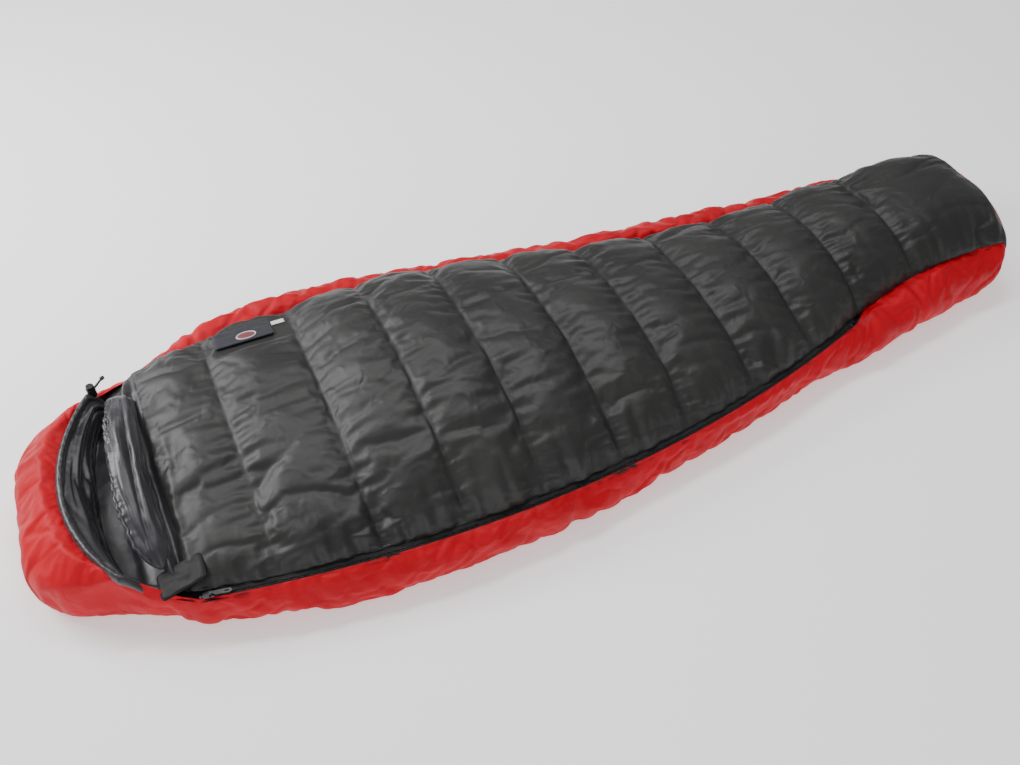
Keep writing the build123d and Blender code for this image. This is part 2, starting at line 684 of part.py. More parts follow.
# Rim channel round the face opening, with the drawcord in it and the cord's tail at its left end
RIM_Z = HOOD_TOP + RIM_R + GAP
RIM_POINTS = [(x, y, RIM_Z) for x, y in (FACE_RIGHT, FACE_BACK, FACE_LEFT)]
with BuildPart() as hood_rim:
    with BuildLine():
        rim = ThreePointArc(*RIM_POINTS)
    with BuildSketch(Plane(origin=rim @ 0, z_dir=rim % 0)):
        Circle(RIM_R)
        Circle(CORD_BORE_R, mode=Mode.SUBTRACT)
    sweep()
save(hood_rim.part, "hood_rim")

rim_end, rim_away = rim @ 1, rim % 1
tail_end = rim_end + rim_away * TAIL
with BuildPart() as hood_drawcord:
    with BuildLine():
        inside = ThreePointArc(*RIM_POINTS)
        Line(rim_end, tail_end)
    with BuildSketch(Plane(origin=inside @ 0, z_dir=inside % 0)):
        Circle(CORD_R)
    sweep()
    with Locations(tail_end):
        Sphere(4)
save(hood_drawcord.part, "hood_drawcord")

# Cord lock on the tail: an upright barrel with a sprung button, cross-drilled for the cord
LOCK_R, LOCK_LOW, LOCK_HIGH, BARREL_BORE_R = 8.5, -11, 9, 6
BUTTON_R, BUTTON_HEAD_R, BUTTON_TRAVEL = 5.7, 7.4, 3
SPRING_LOW, SPRING_HIGH = -9.5, -4
lock_at = rim_end + rim_away * 16
cross_plane = Plane(origin=lock_at - rim_away * 12, x_dir=(0, 0, 1), z_dir=rim_away)
with BuildPart(Plane(origin=lock_at)) as lock_barrel:
    with Locations((0, 0, LOCK_LOW)):
        Cylinder(LOCK_R, LOCK_HIGH - LOCK_LOW, align=MIN_Z)
    fillet(lock_barrel.edges().sort_by(Axis.Z)[0], 2)
    with Locations((0, 0, SPRING_LOW)):
        Cylinder(BARREL_BORE_R, 40, align=MIN_Z, mode=Mode.SUBTRACT)
    with BuildSketch(cross_plane):
        Circle(CORD_BORE_R)
    extrude(amount=24, mode=Mode.SUBTRACT)
save(lock_barrel.part, "lock_barrel")

with BuildPart(Plane(origin=lock_at)) as lock_button:
    with Locations((0, 0, SPRING_HIGH)):
        Cylinder(BUTTON_R, LOCK_HIGH - SPRING_HIGH + BUTTON_TRAVEL + 1, align=MIN_Z)
    with Locations((0, 0, LOCK_HIGH + BUTTON_TRAVEL + 0.5)):
        Cylinder(BUTTON_HEAD_R, 3, align=MIN_Z)
    fillet(lock_button.edges().sort_by(Axis.Z)[-1], 1)
    with BuildSketch(cross_plane):
        with Locations((BUTTON_TRAVEL / 2, 0)):
            SlotOverall(2 * CORD_BORE_R + BUTTON_TRAVEL, 2 * CORD_BORE_R)
    extrude(amount=24, mode=Mode.SUBTRACT)
save(lock_button.part, "lock_button")

with BuildPart(Plane(origin=lock_at)) as lock_spring:
    with Locations((0, 0, SPRING_LOW)):
        Cylinder(4.6, SPRING_HIGH - SPRING_LOW, align=MIN_Z)
        Cylinder(3.6, SPRING_HIGH - SPRING_LOW, align=MIN_Z, mode=Mode.SUBTRACT)
save(lock_spring.part, "lock_spring")
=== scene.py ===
"""Looks of a mummy sleeping bag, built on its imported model."""

from math import cos, pi, radians, sin

import bpy
import numpy as np
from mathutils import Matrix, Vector


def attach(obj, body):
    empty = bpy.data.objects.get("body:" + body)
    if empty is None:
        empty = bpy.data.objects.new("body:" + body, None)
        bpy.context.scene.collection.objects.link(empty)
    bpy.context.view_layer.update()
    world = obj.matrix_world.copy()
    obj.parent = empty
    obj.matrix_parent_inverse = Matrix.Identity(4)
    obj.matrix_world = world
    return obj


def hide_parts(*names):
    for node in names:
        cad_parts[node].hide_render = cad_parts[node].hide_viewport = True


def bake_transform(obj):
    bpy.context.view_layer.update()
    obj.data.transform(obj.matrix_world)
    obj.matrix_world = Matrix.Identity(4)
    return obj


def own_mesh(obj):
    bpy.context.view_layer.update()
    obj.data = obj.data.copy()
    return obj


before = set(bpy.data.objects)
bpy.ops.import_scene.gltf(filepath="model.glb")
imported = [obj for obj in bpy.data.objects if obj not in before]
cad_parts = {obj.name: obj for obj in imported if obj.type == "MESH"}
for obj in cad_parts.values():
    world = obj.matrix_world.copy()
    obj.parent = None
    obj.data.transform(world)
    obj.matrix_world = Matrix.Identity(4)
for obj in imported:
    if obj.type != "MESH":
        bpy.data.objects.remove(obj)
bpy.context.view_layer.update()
scene = bpy.context.scene

# ---------------------------------------------------------------- the bag's dimensions, in metres
# x, right side on the floor, left seam, left side on the floor, height of the seam's crown
STATIONS = np.array([
    (-835, -252, 215, 247, 100),
    (-768, -291, 250, 285, 112),
    (-628, -336, 283, 350, 135),
    (-455, -368, 290, 375, 152),
    (-306, -376, 292, 366, 190),
    (-157, -372, 277, 347, 186),
    (0, -355, 251, 325, 172),
    (151, -326, 219, 297, 164),
    (312, -297, 194, 275, 148),
    (465, -262, 178, 258, 150),
    (617, -241, 171, 244, 156),
    (776, -212, 170, 234, 158),
    (1000, -176, 152, 204, 168),
]) / 1000
SEAM_X, RIGHT_FLOOR, LEFT_SEAM, LEFT_FLOOR, CROWN = STATIONS.T
NECK_X, QUILT_X, TOE_X = SEAM_X[0], SEAM_X[1], SEAM_X[-1]
TOP_BASE, TOE_SEAM_RISE, RISE_START = 0.0855, 0.038, 0.617
ZIP_R, ZIP_X, ZIP_Z = 2.506, -0.237, 0.080
ZIP_Y = ZIP_R - 0.337
ZIP_HEAD_X, ZIP_FOOT_X = -0.760, 0.590
BOTTOM_TOP = 0.0415
PUFF = 0.0135


# ---------------------------------------------------------------- numbers
def smooth(values, x):
    """A smooth curve through a column of STATIONS, at x."""
    slope = np.gradient(values, SEAM_X)
    i = np.clip(np.searchsorted(SEAM_X, x) - 1, 0, len(SEAM_X) - 2)
    span = SEAM_X[i + 1] - SEAM_X[i]
    t = np.clip((x - SEAM_X[i]) / span, 0, 1)
    near, far = (1 + 2 * t) * (1 - t) ** 2, t * t * (3 - 2 * t)
    bend = slope[i] * t * (1 - t) ** 2 - slope[i + 1] * t * t * (1 - t)
    return values[i] * near + values[i + 1] * far + span * bend


def zip_line(x, inset=0.0):
    return ZIP_Y - np.sqrt((ZIP_R - inset) ** 2 - (x - ZIP_X) ** 2)


def right_seam(x):
    x = np.asarray(x, float)
    s = x - ZIP_FOOT_X
    slope = (ZIP_FOOT_X - ZIP_X) / np.sqrt(ZIP_R**2 - (ZIP_FOOT_X - ZIP_X) ** 2)
    foot = zip_line(ZIP_FOOT_X) + slope * s * (1 - 0.74 * s / (TOE_X - ZIP_FOOT_X))
    head = zip_line(ZIP_HEAD_X) + 0.63 * (ZIP_HEAD_X - x)
    return np.where(x < ZIP_HEAD_X, head, np.where(x <= ZIP_FOOT_X, zip_line(x), foot))


def top_base(x):
    return TOP_BASE + TOE_SEAM_RISE * np.clip((x - RISE_START) / (TOE_X - RISE_START), 0, 1)


def past_zip(x):
    """0 along the zip and 1 past its foot end, where the side is sewn to the top."""
    return np.clip((x - ZIP_FOOT_X - 0.012) / 0.035, 0, 1)


def toe_lean(points):
    """Lean the feet end of a piece out at its top and in at the floor."""
    points = np.array(points, float)
    share = np.clip((points[..., 0] - 0.86) / 0.14, 0, 1) ** 2
    points[..., 0] += share * (0.062 * np.clip(points[..., 2] / 0.16, 0, 1.1) - 0.045)
    return points


def noise(x, y, seed):
    """Smooth random bumps between about -1 and 1, the same in each run."""
    x, y = np.broadcast_arrays(np.asarray(x, float), np.asarray(y, float))
    xi, yi = np.floor(x).astype(np.int64), np.floor(y).astype(np.int64)
    xf, yf = x - xi, y - yi
    u = xf**3 * (xf * (xf * 6 - 15) + 10)
    v = yf**3 * (yf * (yf * 6 - 15) + 10)

    def corner(dx, dy):
        h = (xi + dx) * 374761393 + (yi + dy) * 668265263 + seed * 974711
        h = (h ^ (h >> 13)) * 1274126177 & 0x7FFFFFFF
        h = (h ^ (h >> 16)) * 668265263 & 0x7FFFFFFF
        turn = (h & 0xFFFF) / 65536 * 2 * pi
        return np.cos(turn) * (xf - dx) + np.sin(turn) * (yf - dy)

    low = corner(0, 0) * (1 - u) + corner(1, 0) * u
    high = corner(0, 1) * (1 - u) + corner(1, 1) * u
    return 1.5 * (low * (1 - v) + high * v)


def creases(x, y, seed, sharp=2.6):
    """Thin lines, 1 on a crease and 0 away from it."""
    return np.clip(1 - sharp * np.abs(noise(x, y, seed)), 0, 1) ** 2


def spline(points, count):
    """Points evenly along a smooth curve through control points; works on stacks of them."""
    points = np.asarray(points, float)
    n = len(points)
    position = np.linspace(0, n - 1, count)
    i = np.clip(position.astype(int), 0, n - 2)
    t = (position - i).reshape((-1,) + (1,) * (points.ndim - 1))
    a, b = points[i], points[i + 1]
    before = points[np.clip(i - 1, 0, n - 1)]
    after = points[np.clip(i + 2, 0, n - 1)]
    m0, m1 = (b - before) / 2, (after - a) / 2
    return (a * (1 + 2 * t) * (1 - t) ** 2 + b * t * t * (3 - 2 * t)
            + m0 * t * (1 - t) ** 2 - m1 * t * t * (1 - t))


def spline_across(rows, count):
    """A smooth curve through each row of points."""
    return np.transpose(spline(np.transpose(np.asarray(rows, float), (1, 0, 2)), count), (1, 0, 2))


def unit(vectors):
    """Vectors along the last axis, made one long."""
    return vectors / np.maximum(np.linalg.norm(vectors, axis=-1, keepdims=True), 1e-9)


def distance_along(points):
    """The distance along a line of points to each of them, from 0."""
    return np.r_[0, np.cumsum(np.linalg.norm(np.diff(points, axis=0), axis=1))]


def arc_through(start, middle, end, count):
    """Points on the circle through three points in plan."""
    (ax, ay), (bx, by), (cx, cy) = start, middle, end
    d = 2 * (ax * (by - cy) + bx * (cy - ay) + cx * (ay - by))
    aa, bb, cc = ax**2 + ay**2, bx**2 + by**2, cx**2 + cy**2
    ox = (aa * (by - cy) + bb * (cy - ay) + cc * (ay - by)) / d
    oy = (aa * (cx - bx) + bb * (ax - cx) + cc * (bx - ax)) / d
    turns = np.unwrap([np.arctan2(p[1] - oy, p[0] - ox) for p in (start, middle, end)])
    turn = np.linspace(turns[0], turns[2], count)
    r = np.hypot(ax - ox, ay - oy)
    return np.stack([ox + r * np.cos(turn), oy + r * np.sin(turn)], -1)


# ---------------------------------------------------------------- meshes
def add_object(name, vertices, faces, uvs=None):
    mesh = bpy.data.meshes.new(name)
    mesh.from_pydata([tuple(v) for v in vertices], [], faces)
    if uvs is not None:
        layer = mesh.uv_layers.new(name="metres")
        index = np.empty(len(mesh.loops), int)
        mesh.loops.foreach_get("vertex_index", index)
        layer.data.foreach_set("uv", np.asarray(uvs, np.float32)[index].ravel())
    mesh.polygons.foreach_set("use_smooth", [True] * len(mesh.polygons))
    obj = bpy.data.objects.new(name, mesh)
    scene.collection.objects.link(obj)
    return obj


def cloth(name, rows, material, flip=False, closed=False):
    """A sheet through a grid of points, with its UVs in metres of cloth."""
    rows = np.asarray(rows, float)
    if closed:
        rows = np.concatenate([rows, rows[:, :1]], 1)
    nu, nv = rows.shape[:2]
    step_u = np.linalg.norm(np.diff(rows, axis=0), axis=-1).mean(1)
    step_v = np.linalg.norm(np.diff(rows, axis=1), axis=-1).mean(0)
    u, v = np.r_[0, np.cumsum(step_u)], np.r_[0, np.cumsum(step_v)]
    uvs = np.stack(np.meshgrid(u, v, indexing="ij"), -1).reshape(-1, 2)
    at = np.arange(nu * nv).reshape(nu, nv)
    quads = np.stack([at[:-1, :-1], at[1:, :-1], at[1:, 1:], at[:-1, 1:]], -1).reshape(-1, 4)
    if flip:
        quads = quads[:, ::-1]
    obj = add_object(name, rows.reshape(-1, 3), quads.tolist(), uvs)
    obj.data.materials.append(material)
    return obj


def points_of(obj):
    co = np.empty(len(obj.data.vertices) * 3)
    obj.data.vertices.foreach_get("co", co)
    return co.reshape(-1, 3)


def set_points(obj, points):
    obj.data.vertices.foreach_set("co", points.ravel())
    obj.data.update()


def apply_modifiers(obj):
    graph = bpy.context.evaluated_depsgraph_get()
    mesh = bpy.data.meshes.new_from_object(obj.evaluated_get(graph))
    obj.modifiers.clear()
    obj.data = mesh


def refine(obj, levels=1):
    """Round a mesh off with a subdivision surface."""
    modifier = obj.modifiers.new("rounding", "SUBSURF")
    modifier.levels = modifier.render_levels = levels
    modifier.boundary_smooth = "PRESERVE_CORNERS"
    apply_modifiers(obj)
    return obj


def inflate(obj, pinned, pressure, slack, frames, cap):
    """Blow a sheet up as cloth with some points held, and cap how far each point moves."""
    before = points_of(obj)
    held = obj.vertex_groups.new(name="held")
    held.add([int(i) for i in np.flatnonzero(pinned)], 1.0, "REPLACE")
    modifier = obj.modifiers.new("cloth", "CLOTH")
    settings = modifier.settings
    settings.quality = 5
    settings.mass = 0.05
    settings.vertex_group_mass = "held"
    settings.tension_stiffness = settings.compression_stiffness = 12
    settings.shear_stiffness = 5
    settings.bending_stiffness = 0.02
    settings.tension_damping = settings.compression_damping = settings.shear_damping = 10
    settings.air_damping = 4
    settings.use_pressure = True
    settings.uniform_pressure_force = pressure
    settings.shrink_min = -slack
    settings.effector_weights.gravity = 0
    modifier.collision_settings.use_collision = False
    modifier.collision_settings.use_self_collision = False
    modifier.point_cache.frame_start = 1
    modifier.point_cache.frame_end = frames
    for number in range(1, frames + 1):
        scene.frame_set(number)
    apply_modifiers(obj)
    scene.frame_set(1)
    move = points_of(obj) - before
    length = np.maximum(np.linalg.norm(move, axis=1, keepdims=True), 1e-9)
    move *= np.minimum(1, cap * np.tanh(length / cap) / length)
    set_points(obj, before + move)
    obj.vertex_groups.clear()
    return obj


def tube(name, path, radius, material, sides=12, ripple=None):
    """A closed tube along a path; ripple changes its radius from place to place."""
    path = np.asarray(path, float)
    along = unit(np.gradient(path, axis=0))
    side = unit(np.cross(along, (0, 0, 1)))
    up = np.cross(side, along)
    turn = np.linspace(0, 2 * pi, sides, endpoint=False)
    length = distance_along(path)
    size = np.broadcast_to(np.asarray(radius, float), (len(path),))[:, None] * np.ones(sides)
    if ripple is not None:
        size = size + ripple(length[:, None], turn[None, :])
    size[0] *= 0.05
    size[-1] *= 0.05
    rows = (path[:, None] + size[..., None] * (np.cos(turn)[None, :, None] * side[:, None]
                                               + np.sin(turn)[None, :, None] * up[:, None]))
    return cloth(name, rows, material, closed=True)


# ---------------------------------------------------------------- materials
def material(name, base, roughness, metallic=0.0, sheen=0.0, coat=0.0, specular=0.5):
    mat = bpy.data.materials.new(name)
    mat.use_nodes = True
    shader = mat.node_tree.nodes["Principled BSDF"]
    shader.inputs["Base Color"].default_value = (*base, 1)
    shader.inputs["Roughness"].default_value = roughness
    shader.inputs["Metallic"].default_value = metallic
    shader.inputs["Specular IOR Level"].default_value = specular
    shader.inputs["Sheen Weight"].default_value = sheen
    shader.inputs["Sheen Roughness"].default_value = 0.4
    shader.inputs["Coat Weight"].default_value = coat
    return mat, mat.node_tree.nodes, mat.node_tree.links, shader


def grey(value):
    """A neutral colour."""
    return (value, value, value)


def cloud(nodes, links, place, scale, detail, distortion=0.0):
    """A noise texture laid over a piece."""
    texture = nodes.new("ShaderNodeTexNoise")
    texture.inputs["Scale"].default_value = scale
    texture.inputs["Detail"].default_value = detail
    texture.inputs["Distortion"].default_value = distortion
    links.new(place.outputs["Object"], texture.inputs["Vector"])
    return texture


def raised(nodes, links, height, strength, distance):
    """A bump from a texture's heights; distance is in metres."""
    bump = nodes.new("ShaderNodeBump")
    bump.inputs["Strength"].default_value = strength
    bump.inputs["Distance"].default_value = distance
    links.new(height, bump.inputs["Height"])
    return bump


def uneven_gloss(nodes, links, source, low, high, shader):
    """Roughness that goes from low to high with a texture."""
    gloss = nodes.new("ShaderNodeMapRange")
    gloss.inputs["To Min"].default_value = low
    gloss.inputs["To Max"].default_value = high
    links.new(source, gloss.inputs["Value"])
    links.new(gloss.outputs["Result"], shader.inputs["Roughness"])


def fabric(name, base, light, roughness, weave, crinkle, sheen=0.2, specular=0.5, patch=6):
    """Woven cloth: threads across each other, fine crinkles, and uneven colour and gloss.

    weave is the spacing of the threads, and crinkle the depth of the small creases, in metres.
    """
    mat, nodes, links, shader = material(name, base, roughness, sheen=sheen, specular=specular)
    place = nodes.new("ShaderNodeTexCoord")
    heights = []
    for direction in ("X", "Y"):
        threads = nodes.new("ShaderNodeTexWave")
        threads.bands_direction = direction
        threads.inputs["Scale"].default_value = 0.314 / weave
        threads.inputs["Distortion"].default_value = 0.4
        links.new(place.outputs["UV"], threads.inputs["Vector"])
        heights.append(threads.outputs["Fac"])
    woven = nodes.new("ShaderNodeMath")
    woven.operation = "MAXIMUM"
    links.new(heights[0], woven.inputs[0])
    links.new(heights[1], woven.inputs[1])
    fine = raised(nodes, links, woven.outputs[0], 0.25, weave * 0.35)
    folds = cloud(nodes, links, place, 38, 5, 0.6)
    folds.noise_type = "RIDGED_MULTIFRACTAL"
    creased = raised(nodes, links, folds.outputs["Fac"], 0.6, crinkle)
    links.new(fine.outputs["Normal"], creased.inputs["Normal"])
    links.new(creased.outputs["Normal"], shader.inputs["Normal"])
    patches = cloud(nodes, links, place, patch, 4)
    tint = nodes.new("ShaderNodeValToRGB")
    tint.color_ramp.elements[0].position = 0.3
    tint.color_ramp.elements[0].color = (*base, 1)
    tint.color_ramp.elements[1].position = 0.75
    tint.color_ramp.elements[1].color = (*light, 1)
    links.new(patches.outputs["Fac"], tint.inputs["Fac"])
    links.new(tint.outputs["Color"], shader.inputs["Base Color"])
    uneven_gloss(nodes, links, patches.outputs["Fac"], roughness - 0.07, roughness + 0.09, shader)
    return mat


def hard(name, base, roughness, metallic=0.0, scale=900, depth=0.00004):
    """Moulded plastic or metal with fine grain and uneven gloss."""
    mat, nodes, links, shader = material(name, base, roughness, metallic=metallic)
    place = nodes.new("ShaderNodeTexCoord")
    grain = cloud(nodes, links, place, scale, 3)
    bump = raised(nodes, links, grain.outputs["Fac"], 0.4, depth)
    links.new(bump.outputs["Normal"], shader.inputs["Normal"])
    uneven_gloss(nodes, links, grain.outputs["Fac"], max(roughness - 0.1, 0.05), roughness + 0.15, shader)
    return mat


black_nylon = fabric("black_nylon", (0.009, 0.009, 0.0085), (0.020, 0.020, 0.019), 0.47,
                     0.0006, 0.0026, sheen=0.04, specular=0.5)
red_nylon = fabric("red_nylon", (0.47, 0.0, 0.008), (0.62, 0.0, 0.014), 0.50,
                   0.0006, 0.0030, sheen=0.0, specular=0.2)
lining_cloth = fabric("lining_cloth", (0.012, 0.011, 0.015), (0.030, 0.028, 0.038), 0.34,
                      0.0005, 0.0020, sheen=0.15, specular=0.6)
collar_cloth = fabric("collar_cloth", (0.014, 0.013, 0.016), (0.034, 0.032, 0.040), 0.34,
                      0.0005, 0.0022, sheen=0.15, specular=0.6)
tape_cloth = fabric("tape_cloth", grey(0.006), grey(0.012), 0.75,
                    0.0009, 0.0003, sheen=0.3, patch=60)
tab_fabric = fabric("tab_fabric", (0.003, 0.003, 0.0033), (0.007, 0.007, 0.0073), 0.56,
                    0.0008, 0.0030, specular=0.3, sheen=0.03, patch=30)
pocket_cloth = fabric("pocket_cloth", (0.008, 0.008, 0.016), (0.018, 0.018, 0.030), 0.6,
                      0.0009, 0.0006, patch=25)
badge_face = fabric("badge_face", (0.16, 0.03, 0.04), (0.24, 0.05, 0.06), 0.6, 0.0007, 0.0002, patch=90)
badge_edge = fabric("badge_edge", (0.55, 0.55, 0.56), grey(0.66), 0.7, 0.0006, 0.0002, patch=90)
tag_cloth = fabric("tag_cloth", grey(0.68), (0.80, 0.80, 0.79), 0.7, 0.0006, 0.0003, patch=60)
thread = fabric("thread", grey(0.010), grey(0.028), 0.6, 0.0003, 0.0001, patch=200)
red_thread = fabric("red_thread", (0.30, 0.003, 0.010), (0.42, 0.006, 0.020), 0.6,
                    0.0003, 0.0001, patch=200)
cord_cloth = fabric("cord_cloth", grey(0.012), grey(0.035), 0.7,
                    0.0009, 0.0002, patch=300)
hook_cloth = fabric("hook_cloth", grey(0.010), grey(0.030), 0.85,
                    0.0012, 0.0008, patch=400)
coil_plastic = hard("coil_plastic", grey(0.012), 0.25)
lock_plastic = hard("lock_plastic", grey(0.015), 0.35)
slider_metal = hard("slider_metal", (0.09, 0.09, 0.095), 0.36, metallic=1.0)
spring_metal = hard("spring_metal", (0.55, 0.55, 0.56), 0.22, metallic=1.0)


# ---------------------------------------------------------------- top quilt
def chamber_rows(start, end, spacing):
    """X of each row of a quilt, with one exactly on each seam."""
    xs = [start]
    stops = [x for x in SEAM_X if start < x < min(end, TOE_X)] + [end]
    for stop in stops:
        xs += list(np.linspace(xs[-1], stop, max(int(round((stop - xs[-1]) / spacing)), 2) + 1)[1:])
    return np.array(xs)


def chamber_place(x):
    """How far across its chamber x is, from 0 to 1, its distance from a seam, and that seam."""
    x = np.minimum(x, TOE_X)
    i = np.clip(np.searchsorted(SEAM_X, x, side="right") - 1, 0, len(SEAM_X) - 2)
    c = (x - SEAM_X[i]) / (SEAM_X[i + 1] - SEAM_X[i])
    to_seam = np.minimum(x - SEAM_X[i], SEAM_X[i + 1] - x)
    return c, to_seam, i + (c > 0.5)


def arc_frame(x, t):
    """Points of the plain top quilt and the way out from it; t runs from right to left.

    The section is between an arc and a half ellipse, and fuller on the left and at the feet.
    """
    right, left = right_seam(x) + 0.010, smooth(LEFT_SEAM, x) + 0.002
    toe = np.clip((x - 0.55) / 0.40, 0, 1)
    base = top_base(x) - 0.004 + 0.008 * np.clip(2 * t - 1, 0, 1)
    rise = smooth(CROWN, x) - base
    half = (left - right) / 2
    radius = (half**2 + rise**2) / (2 * rise)
    turn = (2 * t - 1) * pi / 2
    across = np.sin(turn)
    arc = np.sqrt(radius**2 - (half * across) ** 2) - radius + rise
    share = np.clip(0.5 + 0.34 * np.clip(across * 3, -1, 1) + 0.2 * toe, 0, 0.95)
    ellipse = rise * np.abs(np.cos(turn)) ** (1 - toe * (0.2 + 0.35 * np.clip(across * 2, 0, 1)))
    roll = 0.018 * np.clip((x - TOE_X) / 0.018, 0, 1) ** 2
    z = base + arc * (1 - share) + ellipse * share - roll
    slope_y, slope_z = across * rise, np.cos(turn) * half + 0.02
    size = np.hypot(slope_y, slope_z)
    return (left + right) / 2 + half * across, z, slope_y / size, slope_z / size


def near_edge(distance):
    """1 a little way in from an edge, and 0 on it and far from it."""
    return np.exp(-(distance**2)) * np.minimum(distance * 3, 1)


ROW_STEP = 0.0065
quilt_x = chamber_rows(QUILT_X, TOE_X + 0.018, ROW_STEP)
quilt_t = np.linspace(0, 1, 104)
qx, qt = np.meshgrid(quilt_x, quilt_t, indexing="ij")
c, to_seam, seam = chamber_place(qx)
qy, qz, out_y, out_z = arc_frame(qx, qt)
first = qx < SEAM_X[2]
edge_right = (qy - right_seam(qx)) / 0.085
edge_left = (smooth(LEFT_SEAM, qx) - qy) / 0.05
full = 1 - np.abs(2 * qt - 1) ** 7
bulge = PUFF * np.sin(pi * np.clip(c, 0, 1)) ** 0.62 * full * np.where(first, 0.75, 1)
gather = np.where((seam == 1) | (qx > TOE_X - 0.12), 0.15, 1.0)
close = (to_seam / 0.010) * np.exp(1 - to_seam / 0.010)
reach = np.minimum(to_seam / 0.018, 1) * np.exp(-((to_seam / 0.048) ** 2))
pucker = (0.0034 * close * noise(qy / 0.010 + 13.7 * seam, to_seam / 0.06 + seam, 3)
          + 0.0050 * reach * noise(qy / 0.021 + 5.1 * seam, to_seam / 0.11 + seam, 7)) * gather * full
drag = -0.0022 * creases(qy / 0.075 + 0.9 * qx, qx / 0.19 + 0.4 * qy, 11) * np.minimum(to_seam / 0.03, 1)
lumps = 0.0040 * noise(qx / 0.13, qy / 0.11, 19) * full
tufts = 0.0072 * near_edge(edge_right) * noise(qx / 0.024, edge_right / 1.6, 23)
tufts += 0.0030 * near_edge(edge_left) * noise(qx / 0.030, edge_left / 1.6, 29)
hem_fold = (0.0040 * np.exp(-(((qx + 0.744 - 0.012 * np.sin(qy * 7)) / 0.008) ** 2)) * full
            * np.clip(0.6 - qy / 0.12, 0, 1))
offset = bulge + pucker + drag + lumps + tufts + hem_fold
rows = toe_lean(np.stack([qx, qy + offset * out_y, qz + offset * out_z], -1))
quilt = cloth("quilt_top", rows, black_nylon)
on_seam = np.abs(to_seam) < 1e-6
pinned = on_seam | (qt == 0) | (qt == 1) | (qx == quilt_x[0]) | (qx == quilt_x[-1])
inflate(quilt, pinned.ravel(), 0.7, 0.036, 22, 0.009)
refine(quilt)


def press_under(obj, x_span, y_span, plane_z, soften=0.014):
    """Hold a piece under something that lies on it, easing out round its edges."""
    co = points_of(obj)
    inside = np.ones(len(co))
    for k, (low, high) in ((0, x_span), (1, y_span)):
        gap = np.maximum(np.maximum(low - co[:, k], co[:, k] - high), 0)
        inside *= np.clip(1 - gap / soften, 0, 1)
    over = np.maximum(co[:, 2] - plane_z(co[:, 1]), 0)
    co[:, 2] -= over * inside
    set_points(obj, co)


press_under(quilt, (-0.607, -0.458), (0.188, 0.266), lambda y: 0.1286 - 0.2283 * (y - 0.204), 0.016)

# Underside of the top quilt, sewn through along the same seams
lining_t = np.linspace(0, 1, 60)
lx, lt = np.meshgrid(chamber_rows(QUILT_X, TOE_X, 0.010), lining_t, indexing="ij")
c, to_seam, seam = chamber_place(lx)
left, right = smooth(LEFT_SEAM, lx) - 0.003, right_seam(lx) + 0.013
ly = right + (left - right) * lt
full = 1 - np.abs(2 * lt - 1) ** 9
sag = 0.009 * np.sin(pi * np.clip(c, 0, 1)) ** 0.6 * full
sag += 0.0015 * noise(ly / 0.02 + seam * 3, to_seam / 0.07, 41) * np.exp(-to_seam / 0.03) * full
lz = top_base(lx) - 0.0008 - 0.004 * full + 0.006 * np.exp(-to_seam / 0.01) * full - sag * 0.35
lining_points = toe_lean(np.stack([lx, ly, lz], -1))
quilt_lining = refine(cloth("quilt_lining", lining_points, lining_cloth, flip=True))


def over_fold(piece):
    """Bake the placement of a piece of the top quilt into its mesh; nothing bends it over the diagonal fold."""
    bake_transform(piece)


over_fold(quilt)
over_fold(quilt_lining)
fillings = [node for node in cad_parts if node.startswith(("flap_fill", "rest_fill"))]
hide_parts(*fillings, "flap_shell", "rest_shell")
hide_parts("flap_lining", "rest_lining")


# ---------------------------------------------------------------- stitching
ALMOST_UP = (0.13, 0.21, 0.97)


def stitches(name, lines, mat, length=0.0034, pitch=0.0050, radius=0.00045):
    """Short rounded stitches laid along lines of points."""
    vertices, faces = [], []
    turn = np.linspace(0, 2 * pi, 6, endpoint=False)
    for line in lines:
        line = np.asarray(line, float)
        at = distance_along(line)
        for s in np.arange(0, at[-1] - length, pitch):
            ends = [np.array([np.interp(s + d, at, line[:, k]) for k in range(3)])
                    for d in (0, length / 2, length)]
            way = unit(ends[2] - ends[0])
            side = unit(np.cross(way, ALMOST_UP))
            up = np.cross(side, way)
            first = len(vertices)
            for point, size in zip(ends, (0.35, 1, 0.35)):
                for a in turn:
                    vertices.append(point + radius * size * (cos(a) * side + sin(a) * up))
            for ring in range(2):
                for k in range(6):
                    a, b = first + ring * 6 + k, first + ring * 6 + (k + 1) % 6
                    faces.append((a, b, b + 6, a + 6))
    obj = add_object(name, vertices, faces)
    obj.data.materials.append(mat)
    return obj


seam_lines = []
for x in SEAM_X[2:-1]:
    t = np.linspace(0.012, 0.988, 200)
    y, z, oy, oz = arc_frame(np.full_like(t, x), t)
    lift = 0.0006 + 0.0040 * noise(x / 0.13, y / 0.11, 19) * (1 - np.abs(2 * t - 1) ** 7)
    seam_lines.append(toe_lean(np.stack([np.full_like(t, x), y + lift * oy, z + lift * oz], -1)))
quilt_stitches = stitches("quilt_stitches", seam_lines, thread)
over_fold(quilt_stitches)

# ---------------------------------------------------------------- red sides and hood, one shell
UNDER = 0.028
HOOD_BACK_X, HOOD_CORNER_R = -1.030, 0.115
HOOD_CORNERS = [(-0.836, -0.246), (-1.024, -0.170), (-1.008, 0.146), (-0.836, 0.241)]
FACE_RIGHT, FACE_BACK, FACE_LEFT = (-0.868, -0.221), (-0.930, -0.012), (-0.852, 0.197)
RIM_Z = 0.1173
FACE_MIDDLE = np.array([-0.80, -0.005])


